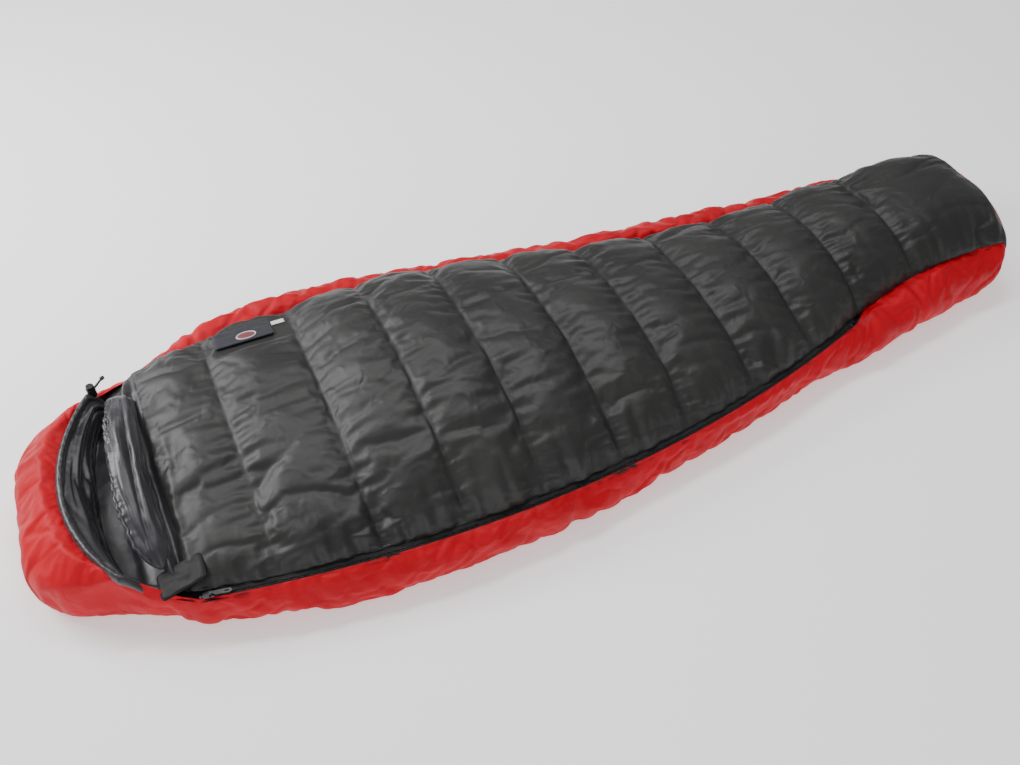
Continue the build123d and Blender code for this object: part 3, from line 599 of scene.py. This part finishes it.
def rounded_path(corners, radius, count):
    """Evenly spaced points along a path with its inner corners rounded, and the way out."""
    points = [np.array(corners[0], float)]
    for a, b, c_ in zip(corners, corners[1:], corners[2:]):
        a, b, c_ = (np.array(p, float) for p in (a, b, c_))
        ia, ic = (a - b) / np.linalg.norm(a - b), (c_ - b) / np.linalg.norm(c_ - b)
        half = np.arccos(np.clip(ia @ ic, -1, 1)) / 2
        cut = radius / np.tan(half)
        centre = b + (ia + ic) / np.linalg.norm(ia + ic) * radius / np.sin(half)
        first, last = b + ia * cut - centre, b + ic * cut - centre
        a0, a1 = np.arctan2(first[1], first[0]), np.arctan2(last[1], last[0])
        if a1 - a0 > pi:
            a1 -= 2 * pi
        if a0 - a1 > pi:
            a1 += 2 * pi
        for a in np.linspace(a0, a1, 24):
            points.append(centre + radius * np.array([np.cos(a), np.sin(a)]))
    points.append(np.array(corners[-1], float))
    points = np.array(points)
    at = distance_along(points)
    s = np.linspace(0, at[-1], count)
    path = np.stack([np.interp(s, at, points[:, k]) for k in (0, 1)], -1)
    way = unit(np.gradient(path, axis=0))
    return path, np.stack([way[:, 1], -way[:, 0]], -1)


def side_arc(x, side, count=7):
    """Points of one side's section, from its seam with the top to its hem under the bag."""
    if side < 0:
        floor, seam_y = smooth(RIGHT_FLOOR, x), right_seam(x)
        hem, widest = (floor + UNDER, 0.0012), (floor, 0.038)
        edge = (seam_y - 0.0050 + 0.018 * past_zip(x), top_base(x) - 0.0046)
    else:
        floor, seam_y = smooth(LEFT_FLOOR, x), smooth(LEFT_SEAM, x)
        hem, widest = (floor - UNDER, 0.0012), (floor, 0.042)
        edge = (seam_y + 0.002, top_base(x) - 0.0040)
    points = arc_through(tuple(map(float, edge)), tuple(map(float, widest)), tuple(map(float, hem)), count)
    return np.stack([np.full(count, x), points[:, 0], points[:, 1]], -1)


hood_path, hood_out = rounded_path(HOOD_CORNERS, HOOD_CORNER_R, 124)
hood_out = -hood_out if hood_out[len(hood_out) // 2][0] > 0 else hood_out
rim_path = arc_through(FACE_RIGHT, FACE_BACK, FACE_LEFT, 124)
rim_out = unit(hood_path - rim_path)
hood_sections = []
for p, n, r, o in zip(hood_path, hood_out, rim_path, rim_out):
    def level(inset, z):
        return (*(p - n * inset), z)
    top_in = (*(r + o * 0.004), 0.1150)
    across = np.linalg.norm(p - r)
    crown_at = (*(r + (p - r) * 0.34), 0.1165 + 0.02 * min(across, 0.10) / 0.1 * 0.4)
    shoulder_at = (*(r + (p - r) * 0.70), 0.1035)
    hood_sections.append([top_in, crown_at, shoulder_at, level(0.006, 0.078), level(0, 0.040),
                          level(0.007, 0.012), level(0.020, 0.0006)])
hood_sections = np.array(hood_sections)
side_x = np.arange(TOE_X + 0.001, NECK_X + 0.014, -0.0068)
right_sections = np.array([side_arc(x, -1) for x in side_x])
left_sections = np.array([side_arc(x, 1) for x in side_x[::-1]])
keep = slice(4, -4)
controls = np.concatenate([right_sections, hood_sections[keep], left_sections])
# ease the places where the sides run into the hood
for middle in (len(right_sections), len(right_sections) + len(hood_sections[keep])):
    low, high = middle - 5, middle + 5
    span = controls[[low - 2, low, high, high + 2]]
    controls[low:high + 1] = spline(span, 31)[10:21]
red_rows = spline_across(controls, 40)
way = np.gradient(red_rows, axis=0)
down = np.gradient(red_rows, axis=1)
out = unit(np.cross(down, way))
if (out[len(out) // 4, 20, 1]) > 0:
    out = -out
around = np.cumsum(np.linalg.norm(np.gradient(red_rows[:, 20], axis=0), axis=1))[:, None]
v = np.linspace(0, 1, 40)[None, :]
belly = np.sin(pi * v) ** 0.7
PANEL_SEAMS = (0.755, -0.115, -0.640, -0.815)
right_count = len(right_sections)
seam_pinch = np.zeros((len(red_rows), 1))
red_seam_rows = []
for panel_x in PANEL_SEAMS:
    for group in (range(0, right_count), range(len(red_rows) - right_count, len(red_rows))):
        group = list(group)
        row = group[int(np.argmin(np.abs(red_rows[group, 20, 0] - panel_x)))]
        red_seam_rows.append(row)
        seam_pinch[:, 0] += np.exp(-(((around[:, 0] - around[row, 0]) / 0.010) ** 2))
wrinkle = 0.0050 * noise(around / 0.055 + 1.3 * v, v * 2.2 + around * 2, 51)
wrinkle += 0.0017 * noise(around / 0.021 + 2.4 * v, v * 2.6, 53)
wrinkle -= 0.0040 * creases(around / 0.060 - 1.9 * v, v * 1.7 + around * 1.4, 57)
near_seam = np.exp(-v / 0.12)
wrinkle += 0.0026 * near_seam * noise(around / 0.012, v * 3, 59) * np.minimum(v / 0.05, 1)
on_floor = np.clip(red_rows[..., 2] / 0.02, 0, 1)
on_hood = np.clip((-0.83 - red_rows[:, 20, 0]) / 0.03, 0, 1)[:, None]
pinch = np.clip(seam_pinch, 0, 1)
swell = (1 - 0.65 * on_hood) * belly * (0.0045 * (1 - pinch) + wrinkle - 0.0035 * pinch)
beside_knees = np.exp(-(((red_rows[:, :1, 0] - 0.34) / 0.20) ** 2))
swell = swell + 0.006 * np.exp(-(((v - 0.14) / 0.10) ** 2)) * beside_knees * (v > 0)
red_rows = red_rows + out * (swell * on_floor)[..., None]
red_rows[..., 2] = np.maximum(red_rows[..., 2], 0.0004)
red_rows = toe_lean(red_rows)
red_shell = cloth("red_shell", red_rows, red_nylon, flip=True)
hold = np.zeros(red_rows.shape[:2], bool)
hold[:, 0] = hold[:, -1] = hold[0] = hold[-1] = True
hold[:, -6:] = True
hold[red_seam_rows] = True
inflate(red_shell, hold.ravel(), 0.8, 0.035, 18, 0.006)
refine(red_shell)
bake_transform(red_shell)
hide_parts("side_shell_right", "side_shell_left", "side_fill_right", "side_fill_left",
            "hood_shell", "hood_fill_wall")
red_lines = [red_rows[row, 1:36] + out[row, 1:36] * 0.0012 for row in red_seam_rows]
red_stitches = stitches("side_stitches", red_lines, red_thread)
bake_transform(red_stitches)

# Under the bag, quilted across
under = []
for x in np.r_[np.arange(TOE_X, NECK_X, -0.012), NECK_X]:
    a, b = float(smooth(RIGHT_FLOOR, x)) + UNDER - 0.006, float(smooth(LEFT_FLOOR, x)) - UNDER + 0.006
    y = np.linspace(a, b, 40)
    dist = np.min(np.abs(SEAM_X - x))
    z = 0.0006 + 0.0035 * np.exp(-dist / 0.012) * np.clip(np.minimum(y - a, b - y) / 0.03, 0, 1)
    under.append(np.stack([np.full(40, x), y, z], -1))
for x in np.arange(NECK_X - 0.01, HOOD_BACK_X + 0.022, -0.012):
    inside = hood_path - hood_out * 0.014
    half = len(inside) // 2
    a = np.interp(-x, -inside[:half, 0], inside[:half, 1])
    b = np.interp(-x, -inside[half:][::-1, 0], inside[half:][::-1, 1])
    y = np.linspace(a, b, 40)
    under.append(np.stack([np.full(40, x), y, np.full(40, 0.0008)], -1))
under_shell = cloth("under_shell", toe_lean(under), red_nylon)
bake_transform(under_shell)
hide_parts("bottom_shell", "hood_floor")

# ---------------------------------------------------------------- foot panel
toe_right, toe_left = side_arc(TOE_X, -1, 16), side_arc(TOE_X, 1, 16)
t = np.linspace(0, 1, 26)
ty, tz, _, _ = arc_frame(np.full(26, TOE_X), t)
top_line = np.stack([np.full(26, TOE_X), ty, tz - 0.003], -1)
floor_line = np.linspace(toe_left[-1], toe_right[-1], 22)
ring = np.concatenate([toe_right[::-1], top_line[1:-1], toe_left, floor_line[1:-1]])
middle = np.array([TOE_X, ring[:, 1].mean(), 0.068])
rings = []
for ahead, keep_share in ((-0.002, 1.0), (0.006, 0.995), (0.014, 0.975), (0.020, 0.93), (0.0235, 0.84),
                          (0.0235, 0.72), (0.0250, 0.58), (0.0255, 0.42), (0.0255, 0.26), (0.0255, 0.12),
                          (0.0255, 0.02)):
    ringed = middle + (ring - middle) * keep_share
    angle = np.linspace(0, 2 * pi, len(ring), endpoint=False)
    ripple = 0.0012 * noise(angle * 7, np.full(len(ring), ahead * 40), 61) * (1 - abs(2 * keep_share - 1))
    ringed[:, 0] = TOE_X + ahead + ripple
    ringed[:, 2] = np.maximum(ringed[:, 2], 0.0006)
    rings.append(ringed)
foot = refine(cloth("foot_panel", toe_lean(rings), red_nylon, closed=True))
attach(foot, "root")
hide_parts("foot_shell", "foot_fill")

# ---------------------------------------------------------------- hood's inside, rim and lining
rim_arc = arc_through(FACE_RIGHT, FACE_BACK, FACE_LEFT, 150)
rim_drop = np.r_[np.linspace(1, 0, 9)[:-1], np.zeros(150), np.linspace(0, 1, 9)[1:]] ** 1.5
rim_arc = np.concatenate([np.linspace((-0.833, -0.238), rim_arc[0], 9)[:-1], rim_arc,
                          np.linspace(rim_arc[-1], (-0.828, 0.216), 9)[1:]])
count = len(rim_arc)
inward = unit(FACE_MIDDLE - rim_arc)
way_along = np.linspace(0, 1, count)
reach_in = 0.010 + 0.030 * np.sin(pi * way_along) ** 0.5
profile = [(-0.0075, 0.110), (-0.0060, 0.1195), (0.0000, 0.1245), (0.0065, 0.1215), (0.0100, 0.1120)]
LINING_DROP = ((0.35, 0.105), (0.55, 0.094), (0.75, 0.080), (0.88, 0.064), (0.95, 0.050), (1.0, 0.0425))
lining_rows = []
for k in range(count):
    line = [(*(rim_arc[k] + inward[k] * a), z) for a, z in profile]
    for share, z in LINING_DROP:
        line.append((*(rim_arc[k] + inward[k] * (0.010 + reach_in[k] * share)), z))
    lining_rows.append(line)
lining_rows = spline_across(lining_rows, 44)
s = np.cumsum(np.linalg.norm(np.gradient(lining_rows[:, 0], axis=0), axis=1))[:, None]
v = np.linspace(0, 1, 44)[None, :]
inside_part = np.clip((v - 0.30) / 0.15, 0, 1) * np.clip((1 - v) / 0.1, 0, 1)
push = inside_part * (0.007 * noise(s / 0.16 + 0.4 * v, v * 6.5, 71)
                      - 0.006 * creases(s / 0.24, v * 7.5 + s * 3, 73))
push += 0.0016 * np.clip(v / 0.05, 0, 1) * (1 - inside_part) * noise(s / 0.009, v * 6, 77)
lining_rows[..., :2] += (inward[:, None] * push[..., None])
lining_rows[..., 2] += 0.4 * push
lining_rows[..., 2] -= 0.040 * rim_drop[:, None] * np.clip((lining_rows[..., 2] - 0.045) / 0.075, 0, 1)
lining_rows[..., 2] = np.clip(lining_rows[..., 2], 0.0422, 0.1262)
hood_inside = refine(cloth("hood_inside", lining_rows, collar_cloth))
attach(hood_inside, "hood")
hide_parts("hood_lining", "hood_rim")
rim_seam = stitches("rim_stitches", [lining_rows[2:-2, 14] + np.array([0, 0, 0.0008])], thread)
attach(rim_seam, "hood")

# Bottom of the inside, from the hood to the feet
floor_rows = []
for x in chamber_rows(HOOD_BACK_X + 0.085, TOE_X, 0.010):
    if x < NECK_X:
        spread = np.clip((x - (HOOD_BACK_X + 0.080)) / 0.10, 0, 1) ** 0.5
        a, b = -0.205 * spread - 0.012, 0.190 * spread + 0.002
    else:
        a, b = float(right_seam(x)) + 0.022, float(smooth(LEFT_SEAM, x)) - 0.025
        ease = np.clip((x - NECK_X) / 0.05, 0, 1)
        a, b = -0.217 + (a + 0.217) * ease, 0.192 + (b - 0.192) * ease
    share = np.linspace(0, 1, 56)
    y = a + (b - a) * share
    c, dist, seam = chamber_place(np.full(56, x))
    if x < NECK_X:
        c, dist = np.full(56, 0.5), np.full(56, 0.05)
    flat_edge = 1 - np.abs(2 * share - 1) ** 8
    by_seam = np.exp(-dist / 0.03) * np.minimum(dist / 0.008, 1)
    z = BOTTOM_TOP + (0.0055 * np.sin(pi * np.clip(c, 0, 1)) ** 0.6
                      + 0.0016 * by_seam * noise(y / 0.016 + seam, dist / 0.06, 81)
                      + 0.0012 * noise(x / 0.06, y / 0.05, 83)) * flat_edge
    floor_rows.append(np.stack([np.full(56, x), y, z], -1))
inner_floor = refine(cloth("inner_floor", toe_lean(floor_rows), lining_cloth))
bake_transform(inner_floor)
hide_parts("bottom_lining", "hood_fill_pad", "bottom_fill_shoulder", "bottom_fill_hip",
            "bottom_fill_leg")

# Inside of each side, from the seam down to the bottom of the inside
for side, label in ((-1, "right"), (1, "left")):
    walls = []
    for x in chamber_rows(NECK_X, TOE_X, 0.010):
        top_z, beyond_zip = float(top_base(x)), past_zip(x)
        if side < 0:
            edge = float(right_seam(x) + 0.016 * beyond_zip)
            wall_y = float(right_seam(x)) + 0.0225 + 0.008 * beyond_zip
            line = [(edge - 0.010, top_z - 0.0085), (edge + 0.004, 0.0735 + top_z - TOP_BASE),
                    (edge + 0.019, 0.0712 + top_z - TOP_BASE), (wall_y, 0.062), (wall_y, 0.051)]
        else:
            edge = float(smooth(LEFT_SEAM, x))
            wall_y = edge - 0.0255
            line = [(edge + 0.002, top_z - 0.005), (edge - 0.010, top_z - 0.004), (edge - 0.021, top_z - 0.008),
                    (wall_y, 0.068), (wall_y, 0.052)]
        line.append((wall_y, 0.0405))
        walls.append([(x, y, z) for y, z in line])
    walls = spline_across(walls, 18)
    gx = walls[..., 0]
    wrinkled = side * 0.0014 * noise(gx / 0.02, walls[..., 2] / 0.03, 91)
    walls[..., 1] -= wrinkled * np.linspace(0, 1, 18)[None, :]
    wall = refine(cloth(f"inner_side_{label}", toe_lean(walls), lining_cloth, flip=side > 0))
    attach(wall, "root")

# ---------------------------------------------------------------- draft collar and tube
collar_arc = arc_through((-0.802, -0.217), (-0.812, -0.005), (-0.797, 0.196), 150)
turn = np.linspace(0, 2 * pi, 64, endpoint=False)
ca, ct = np.meshgrid(np.linspace(0, 1, 150), turn, indexing="ij")
s = np.cumsum(np.linalg.norm(np.gradient(collar_arc, axis=0), axis=1))[:, None]
arch = np.sin(pi * ca)
taper = np.clip(arch * 5, 0, 1) ** 0.5
half_w = (0.020 + 0.012 * arch**0.5) * taper
half_h = (0.012 + 0.020 * arch**0.6) * taper
lean = 0.25 * np.cos(ct)
folds = (0.0065 * noise(s / 0.23 + 0.3 * ct, ct / 0.42, 101) + 0.0026 * noise(s / 0.045, ct / 0.5, 103)
         - 0.0075 * creases(s / 0.30 + 0.4 * ct, ct / 0.7, 107))
gathers = 0.0030 * noise(s / 0.0085, ct * 0.9, 109) * np.exp(-(((ct - 2.75) / 0.38) ** 2))
size = 1 + (folds + gathers) / 0.030
centre_z = 0.096 + 0.028 * arch**0.7
collar_rows = np.stack([collar_arc[:, 0][:, None] + half_w * np.cos(ct) * size,
                        collar_arc[:, 1][:, None] + 0 * ct,
                        centre_z + half_h * np.sin(ct) * size - lean * half_w], -1)
collar = refine(cloth("draft_collar_roll", collar_rows, collar_cloth, closed=True))
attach(collar, "flap")
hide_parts("draft_collar")
edge_at = int(np.argmin(np.abs(turn - 2.75)))
ridge = collar_rows[4:-4, edge_at] + np.array([-0.001, 0, 0.001])
collar_edge = tube("collar_edge", ridge, 0.0030, collar_cloth,
                   ripple=lambda length, a: 0.0007 * noise(length / 0.006, a, 117))
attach(collar_edge, "flap")
# Skirt of cloth between the collar and the quilt's end
skirt = []
head_t = np.linspace(0, 1, 130)
head_y, head_z, _, _ = arc_frame(np.full(130, QUILT_X), head_t)
for a, y, z in zip(head_t, head_y, head_z):
    arch_here = sin(pi * a) ** 0.7
    skirt.append([(QUILT_X + 0.003, y, z), (-0.776, y * 0.98, z * 0.92 + 0.004),
                  (-0.784, y * 0.94, 0.084 + 0.022 * arch_here), (-0.792, y * 0.88, 0.082 + 0.034 * arch_here),
                  (-0.800, y * 0.82, 0.078 + 0.034 * arch_here)])
skirt = spline_across(skirt, 22)
skirt_share = np.linspace(0, 1, 22)[None, :]
skirt[..., 2] += 0.005 * noise(skirt[..., 1] / 0.09, skirt_share * 2.5, 121) * np.sin(pi * skirt_share)
collar_skirt = refine(cloth("collar_skirt", skirt, collar_cloth))
over_fold(collar_skirt)

arc_x = np.linspace(-0.735, 0.560, 240)
tube_path = np.stack([arc_x, zip_line(arc_x, 0.033), np.full(240, 0.058)], -1)


def tube_ripple(length, a):
    """Shallow waves along the draught tube, nipped in every 45 mm."""
    return 0.0010 * noise(length / 0.03, a, 131) - 0.0012 * (np.cos(length / 0.045 * 2 * pi) > 0.97)


draft = tube("draft_tube_roll", tube_path, 0.0076, lining_cloth, 16, ripple=tube_ripple)
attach(draft, "root")
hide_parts("draft_tube")


# ---------------------------------------------------------------- zip
def zip_strip(name, start, end, inner, outer, z, wave_seed):
    """A length of zip tape between two distances from the zip's middle line."""
    xs = np.linspace(start, end, int((end - start) / 0.006) + 2)
    shares = np.linspace(0, 1, 7)
    rows = []
    for x in xs:
        reach = min(outer, 0.0046 + 0.06 * max(x + 0.655, 0))
        inset = inner + (reach - inner) * shares
        y = zip_line(np.full(7, x), -inset)
        zz = z + 0.0004 * noise(x / 0.05, shares * 2, wave_seed) * np.abs(shares)
        zz -= 0.9 * np.clip(inset - 0.0048, 0, 1)
        rows.append(np.stack([np.full(7, x), y, zz], -1))
    return cloth(name, np.array(rows), tape_cloth)


def zip_teeth(name, start, end, side, pitch=0.0021):
    """A row of coil loops along one side of the zip's middle line."""
    ring = np.array([(0.0004, -0.4), (0.0004, 0.4), (0.0013, 1.0), (0.0028, 1.0),
                     (0.0036, 0.45), (0.0036, -0.45), (0.0028, -1.0), (0.0013, -1.0)])
    vertices, faces = [], []
    half = pitch * 0.36
    for x in np.arange(start, end, pitch):
        x = x + (pitch / 2 if side > 0 else 0)
        turn = np.arcsin((x - ZIP_X) / ZIP_R)
        forwards = np.array([cos(turn), sin(turn), 0])
        outwards = np.array([sin(turn), -cos(turn), 0]) * side
        centre = np.array([x, float(zip_line(x)), ZIP_Z])
        first = len(vertices)
        for shift, shrink in ((-half, 0.7), (0, 1.0), (half, 0.7)):
            for reach_, height in ring:
                vertices.append(centre + forwards * shift + outwards * (reach_ * (0.9 + 0.1 * shrink))
                                + np.array([0, 0, height * 0.00115 * shrink]))
        n = len(ring)
        for band in range(2):
            for k in range(n):
                a, b = first + band * n + k, first + band * n + (k + 1) % n
                faces.append((a, b, b + n, a + n))
        faces.append(tuple(first + k for k in range(n))[::-1])
        faces.append(tuple(first + 2 * n + k for k in range(n)))
    obj = add_object(name, vertices, faces)
    obj.data.materials.append(coil_plastic)
    return obj


lower_tape = zip_strip("zip_lower_tape", ZIP_HEAD_X - 0.004, ZIP_FOOT_X + 0.012, 0.0030, 0.0080, ZIP_Z, 141)
upper_tape = zip_strip("zip_upper_tape", -0.734, ZIP_FOOT_X + 0.012, -0.0030, -0.0160, ZIP_Z, 143)
lower_teeth = zip_teeth("zip_lower_teeth", ZIP_HEAD_X + 0.004, ZIP_FOOT_X - 0.008, 1)
upper_teeth = zip_teeth("zip_upper_teeth", -0.729, ZIP_FOOT_X - 0.008, -1)
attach(lower_tape, "root")
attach(lower_teeth, "root")
over_fold(upper_tape)
over_fold(upper_teeth)
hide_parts("zip_tape_fixed")
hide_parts("zip_coil_fixed")
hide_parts("zip_tape_flap")
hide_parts("zip_coil_flap")
tape_lines = []
for inset in (-0.0050, 0.0058):
    xs = np.linspace(ZIP_HEAD_X + 0.03, ZIP_FOOT_X, 300)
    tape_lines.append(np.stack([xs, zip_line(xs, inset), np.full(300, ZIP_Z + 0.0006)], -1))
tape_stitches = stitches("zip_stitches", tape_lines, thread, 0.0028, 0.0042, 0.0004)
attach(tape_stitches, "root")

# ---------------------------------------------------------------- closure tab, pocket, tag
def patch_frame(origin, x_dir, normal):
    x_dir, normal = Vector(x_dir).normalized(), Vector(normal).normalized()
    return Vector(origin), x_dir, normal.cross(x_dir), normal


def pad(name, plane, x0, x1, y0, y1, corner, base, thick, mat, seed, wave=0.0008, sag=None):
    """A sewn patch with rounded corners: pillow-shaped, closed underneath."""
    origin, ex, ey, ez = plane
    nu, nv = 36, 28
    rows = []
    for face_side in (1, -1):
        for i in range(nu) if face_side > 0 else range(nu - 1, -1, -1):
            u = 2 * i / (nu - 1) - 1
            line = []
            for j in range(nv):
                w = 2 * j / (nv - 1) - 1
                half_x, half_y = (x1 - x0) / 2, (y1 - y0) / 2
                px, py = u * half_x, w * half_y
                over_x, over_y = abs(px) - (half_x - corner), abs(py) - (half_y - corner)
                if over_x > 0 and over_y > 0:
                    far = max(over_x, over_y)
                    long = (over_x**2 + over_y**2) ** 0.5
                    px -= np.sign(px) * over_x * (1 - far / long)
                    py -= np.sign(py) * over_y * (1 - far / long)
                from_rim = min(1, (1 - max(abs(u), abs(w))) / 0.12)
                height = thick * (0.35 + 0.65 * from_rim**0.5) if face_side > 0 else 0
                ripple = wave * float(noise(px / 0.02, py / 0.02, seed)) * from_rim
                fall = sag(px, py) if sag else 0
                point = (origin + ex * ((x0 + x1) / 2 + px) + ey * ((y0 + y1) / 2 + py)
                         + ez * (base + height + (ripple if face_side > 0 else ripple * 0.5) + fall))
                line.append(tuple(point))
            rows.append(line)
    obj = cloth(name, np.array(rows), mat)
    return refine(obj)


fall = radians(18)
tab_plane = patch_frame((-0.737, -0.243, 0.109), (-cos(fall), 0, -sin(fall)), (-sin(fall), 0, cos(fall)))
tab = pad("closure_tab_cloth", tab_plane, 0, 0.084, -0.027, 0.027, 0.008, 0, 0.0036,
          tab_fabric, 151, 0.0016)
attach(tab, "tab")
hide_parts("closure_tab")

high = Vector((-0.548, 0.204, 0.1291))
pocket_plane = patch_frame(high, (1, 0, 0), (0, 0.2226, 0.9749))
pocket = pad("pocket_cloth_bag", pocket_plane, -0.057, 0.057, 0, 0.058, 0.006, 0.0006, 0.0032,
             pocket_cloth, 161, 0.0006)
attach(pocket, "root")
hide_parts("pocket_bag")
pocket_lid = pad("pocket_cloth_flap", pocket_plane, -0.0575, 0.0575, 0, 0.034, 0.004, 0.0036, 0.0022,
                 pocket_cloth, 163, 0.0003)
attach(pocket_lid, "pocket_lid")
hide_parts("pocket_flap")


def oval(name, plane, middle_x, middle_y, rings, mat, slot):
    """A raised oval made of rings (half length, half width, height)."""
    origin, ex, ey, ez = plane
    angles = np.linspace(0, 2 * pi, 48, endpoint=False)
    rows = [[tuple(origin + ex * (middle_x + a * cos(q)) + ey * (middle_y + b * sin(q)) + ez * h) for q in angles]
            for a, b, h in rings]
    return cloth(name, np.array(rows), mat, closed=True)


badge_at = (0.006, 0.017)
badge = oval("badge_field", pocket_plane, *badge_at,
             [(0.0172, 0.0104, 0.0060), (0.0170, 0.0102, 0.0068), (0.012, 0.007, 0.0070),
              (0.0001, 0.0001, 0.0071)], badge_face, "badge")
border = oval("badge_border", pocket_plane, *badge_at,
              [(0.0200, 0.0130, 0.0055), (0.0200, 0.0130, 0.0068), (0.0193, 0.0123, 0.0076),
               (0.0180, 0.0111, 0.0076), (0.0171, 0.0103, 0.0068), (0.0170, 0.0102, 0.0058)], badge_edge, "badge")
for piece in (badge, border):
    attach(piece, "pocket_lid")
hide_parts("pocket_badge")
tag = pad("size_tag_cloth", pocket_plane, 0.060, 0.086, 0.035, 0.049, 0.001, 0.0006, 0.0009,
          tag_cloth, 167, 0.0006)
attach(tag, "root")
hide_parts("size_tag")

# ---------------------------------------------------------------- drawcord's tail
rim_end = Vector((-0.852, 0.197, RIM_Z))
away = Vector((0.657444, 0.753504, 0))
curve = bpy.data.curves.new("drawcord_tail", "CURVE")
curve.dimensions = "3D"
line = curve.splines.new("NURBS")
steps = (0.0, 0.010, 0.020, 0.032, 0.042, 0.052)
line.points.add(len(steps) - 1)
for point, step in zip(line.points, steps):
    point.co = (*(rim_end + away * step), 1)
line.order_u = 3
line.use_endpoint_u = True
curve.bevel_depth = 0.0022
curve.bevel_resolution = 4
curve.use_fill_caps = True
tail = bpy.data.objects.new("drawcord_tail", curve)
scene.collection.objects.link(tail)
tail.data.materials.append(cord_cloth)
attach(tail, "hood")
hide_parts("hood_drawcord")
knot_at = np.array(rim_end + away * 0.0515)
knot_turn = np.linspace(0, 2 * pi, 60)
knot_path = np.stack([knot_at[0] + 0.0021 * (np.sin(knot_turn) + 2 * np.sin(2 * knot_turn)) * 0.55,
                      knot_at[1] + 0.0021 * (np.cos(knot_turn) - 2 * np.cos(2 * knot_turn)) * 0.55,
                      knot_at[2] - 0.0016 * np.sin(3 * knot_turn)], -1)
knot = tube("drawcord_knot", knot_path, 0.0017, cord_cloth, 10)
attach(knot, "hood")

# The spring under the lock's button, which shortens as the button goes in
SPRING_LOW, SPRING_HIGH, WIRE = RIM_Z - 0.0095, RIM_Z - 0.0040, 0.0004
lock_at = rim_end + away * 0.016
wind = np.linspace(0, 7 * pi, 140)
rise = np.clip((wind - 1.4 * pi) / (4.2 * pi), 0, 1)
spring_path = np.stack([lock_at[0] + 0.0041 * np.cos(wind), lock_at[1] + 0.0041 * np.sin(wind),
                        SPRING_LOW + WIRE + rise * (SPRING_HIGH - SPRING_LOW - 2 * WIRE)], -1)
spring = tube("lock_spring_coil", spring_path, WIRE, spring_metal, 8)
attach(spring, "lock")
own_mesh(spring)
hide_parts("lock_spring")

# ---------------------------------------------------------------- carried-over pieces
KEPT = {"zip_slider": slider_metal, "zip_pull": slider_metal, "zip_top_stop": slider_metal,
        "zip_bottom_stop": slider_metal, "lock_barrel": lock_plastic, "lock_button": lock_plastic,
        "tab_hook_patch": hook_cloth, "tab_loop_patch": hook_cloth}
for name, mat in KEPT.items():
    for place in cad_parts[name].material_slots:
        place.material = mat

# ---------------------------------------------------------------- floor, lights and camera
bpy.ops.mesh.primitive_plane_add(size=14, location=(0, 0, -0.0004))
floor = bpy.context.object
floor.name = "floor"
floor_mat, nodes, links, shader = material("floor_paper", grey(0.90), 0.9)
grain = nodes.new("ShaderNodeTexNoise")
grain.inputs["Scale"].default_value = 40
uneven_gloss(nodes, links, grain.outputs["Fac"], 0.86, 0.94, shader)
shader.inputs["Emission Color"].default_value = (1, 1, 1, 1)
shader.inputs["Emission Strength"].default_value = 0.55
floor.data.materials.append(floor_mat)

world = bpy.data.worlds.new("studio")
scene.world = world
world.use_nodes = True
world.node_tree.nodes["Background"].inputs["Color"].default_value = (1, 1, 1, 1)
world.node_tree.nodes["Background"].inputs["Strength"].default_value = 0.42


def area_light(name, location, target, size, power):
    data = bpy.data.lights.new(name, "AREA")
    data.shape = "RECTANGLE"
    data.size, data.size_y = size
    data.energy = power
    obj = bpy.data.objects.new(name, data)
    obj.location = location
    obj.rotation_euler = (Vector(target) - Vector(location)).to_track_quat("-Z", "Y").to_euler()
    scene.collection.objects.link(obj)


area_light("key", (-2.0, 1.4, 1.5), (-0.2, 0, 0.1), (1.3, 0.8), 62)
area_light("top", (0.2, 0.9, 2.6), (0.1, 0, 0), (1.6, 0.5), 34)
area_light("front", (-0.9, -2.4, 1.1), (0, 0, 0), (1.8, 0.5), 14)

camera = bpy.data.objects.new("camera", bpy.data.cameras.new("camera"))
camera.data.lens = 37.55
camera.data.sensor_width = 36
camera.location = (-0.6665, -1.3137, 1.5976)
camera.rotation_euler = (radians(42.2), 0, radians(-24.03))
scene.collection.objects.link(camera)
scene.camera = camera
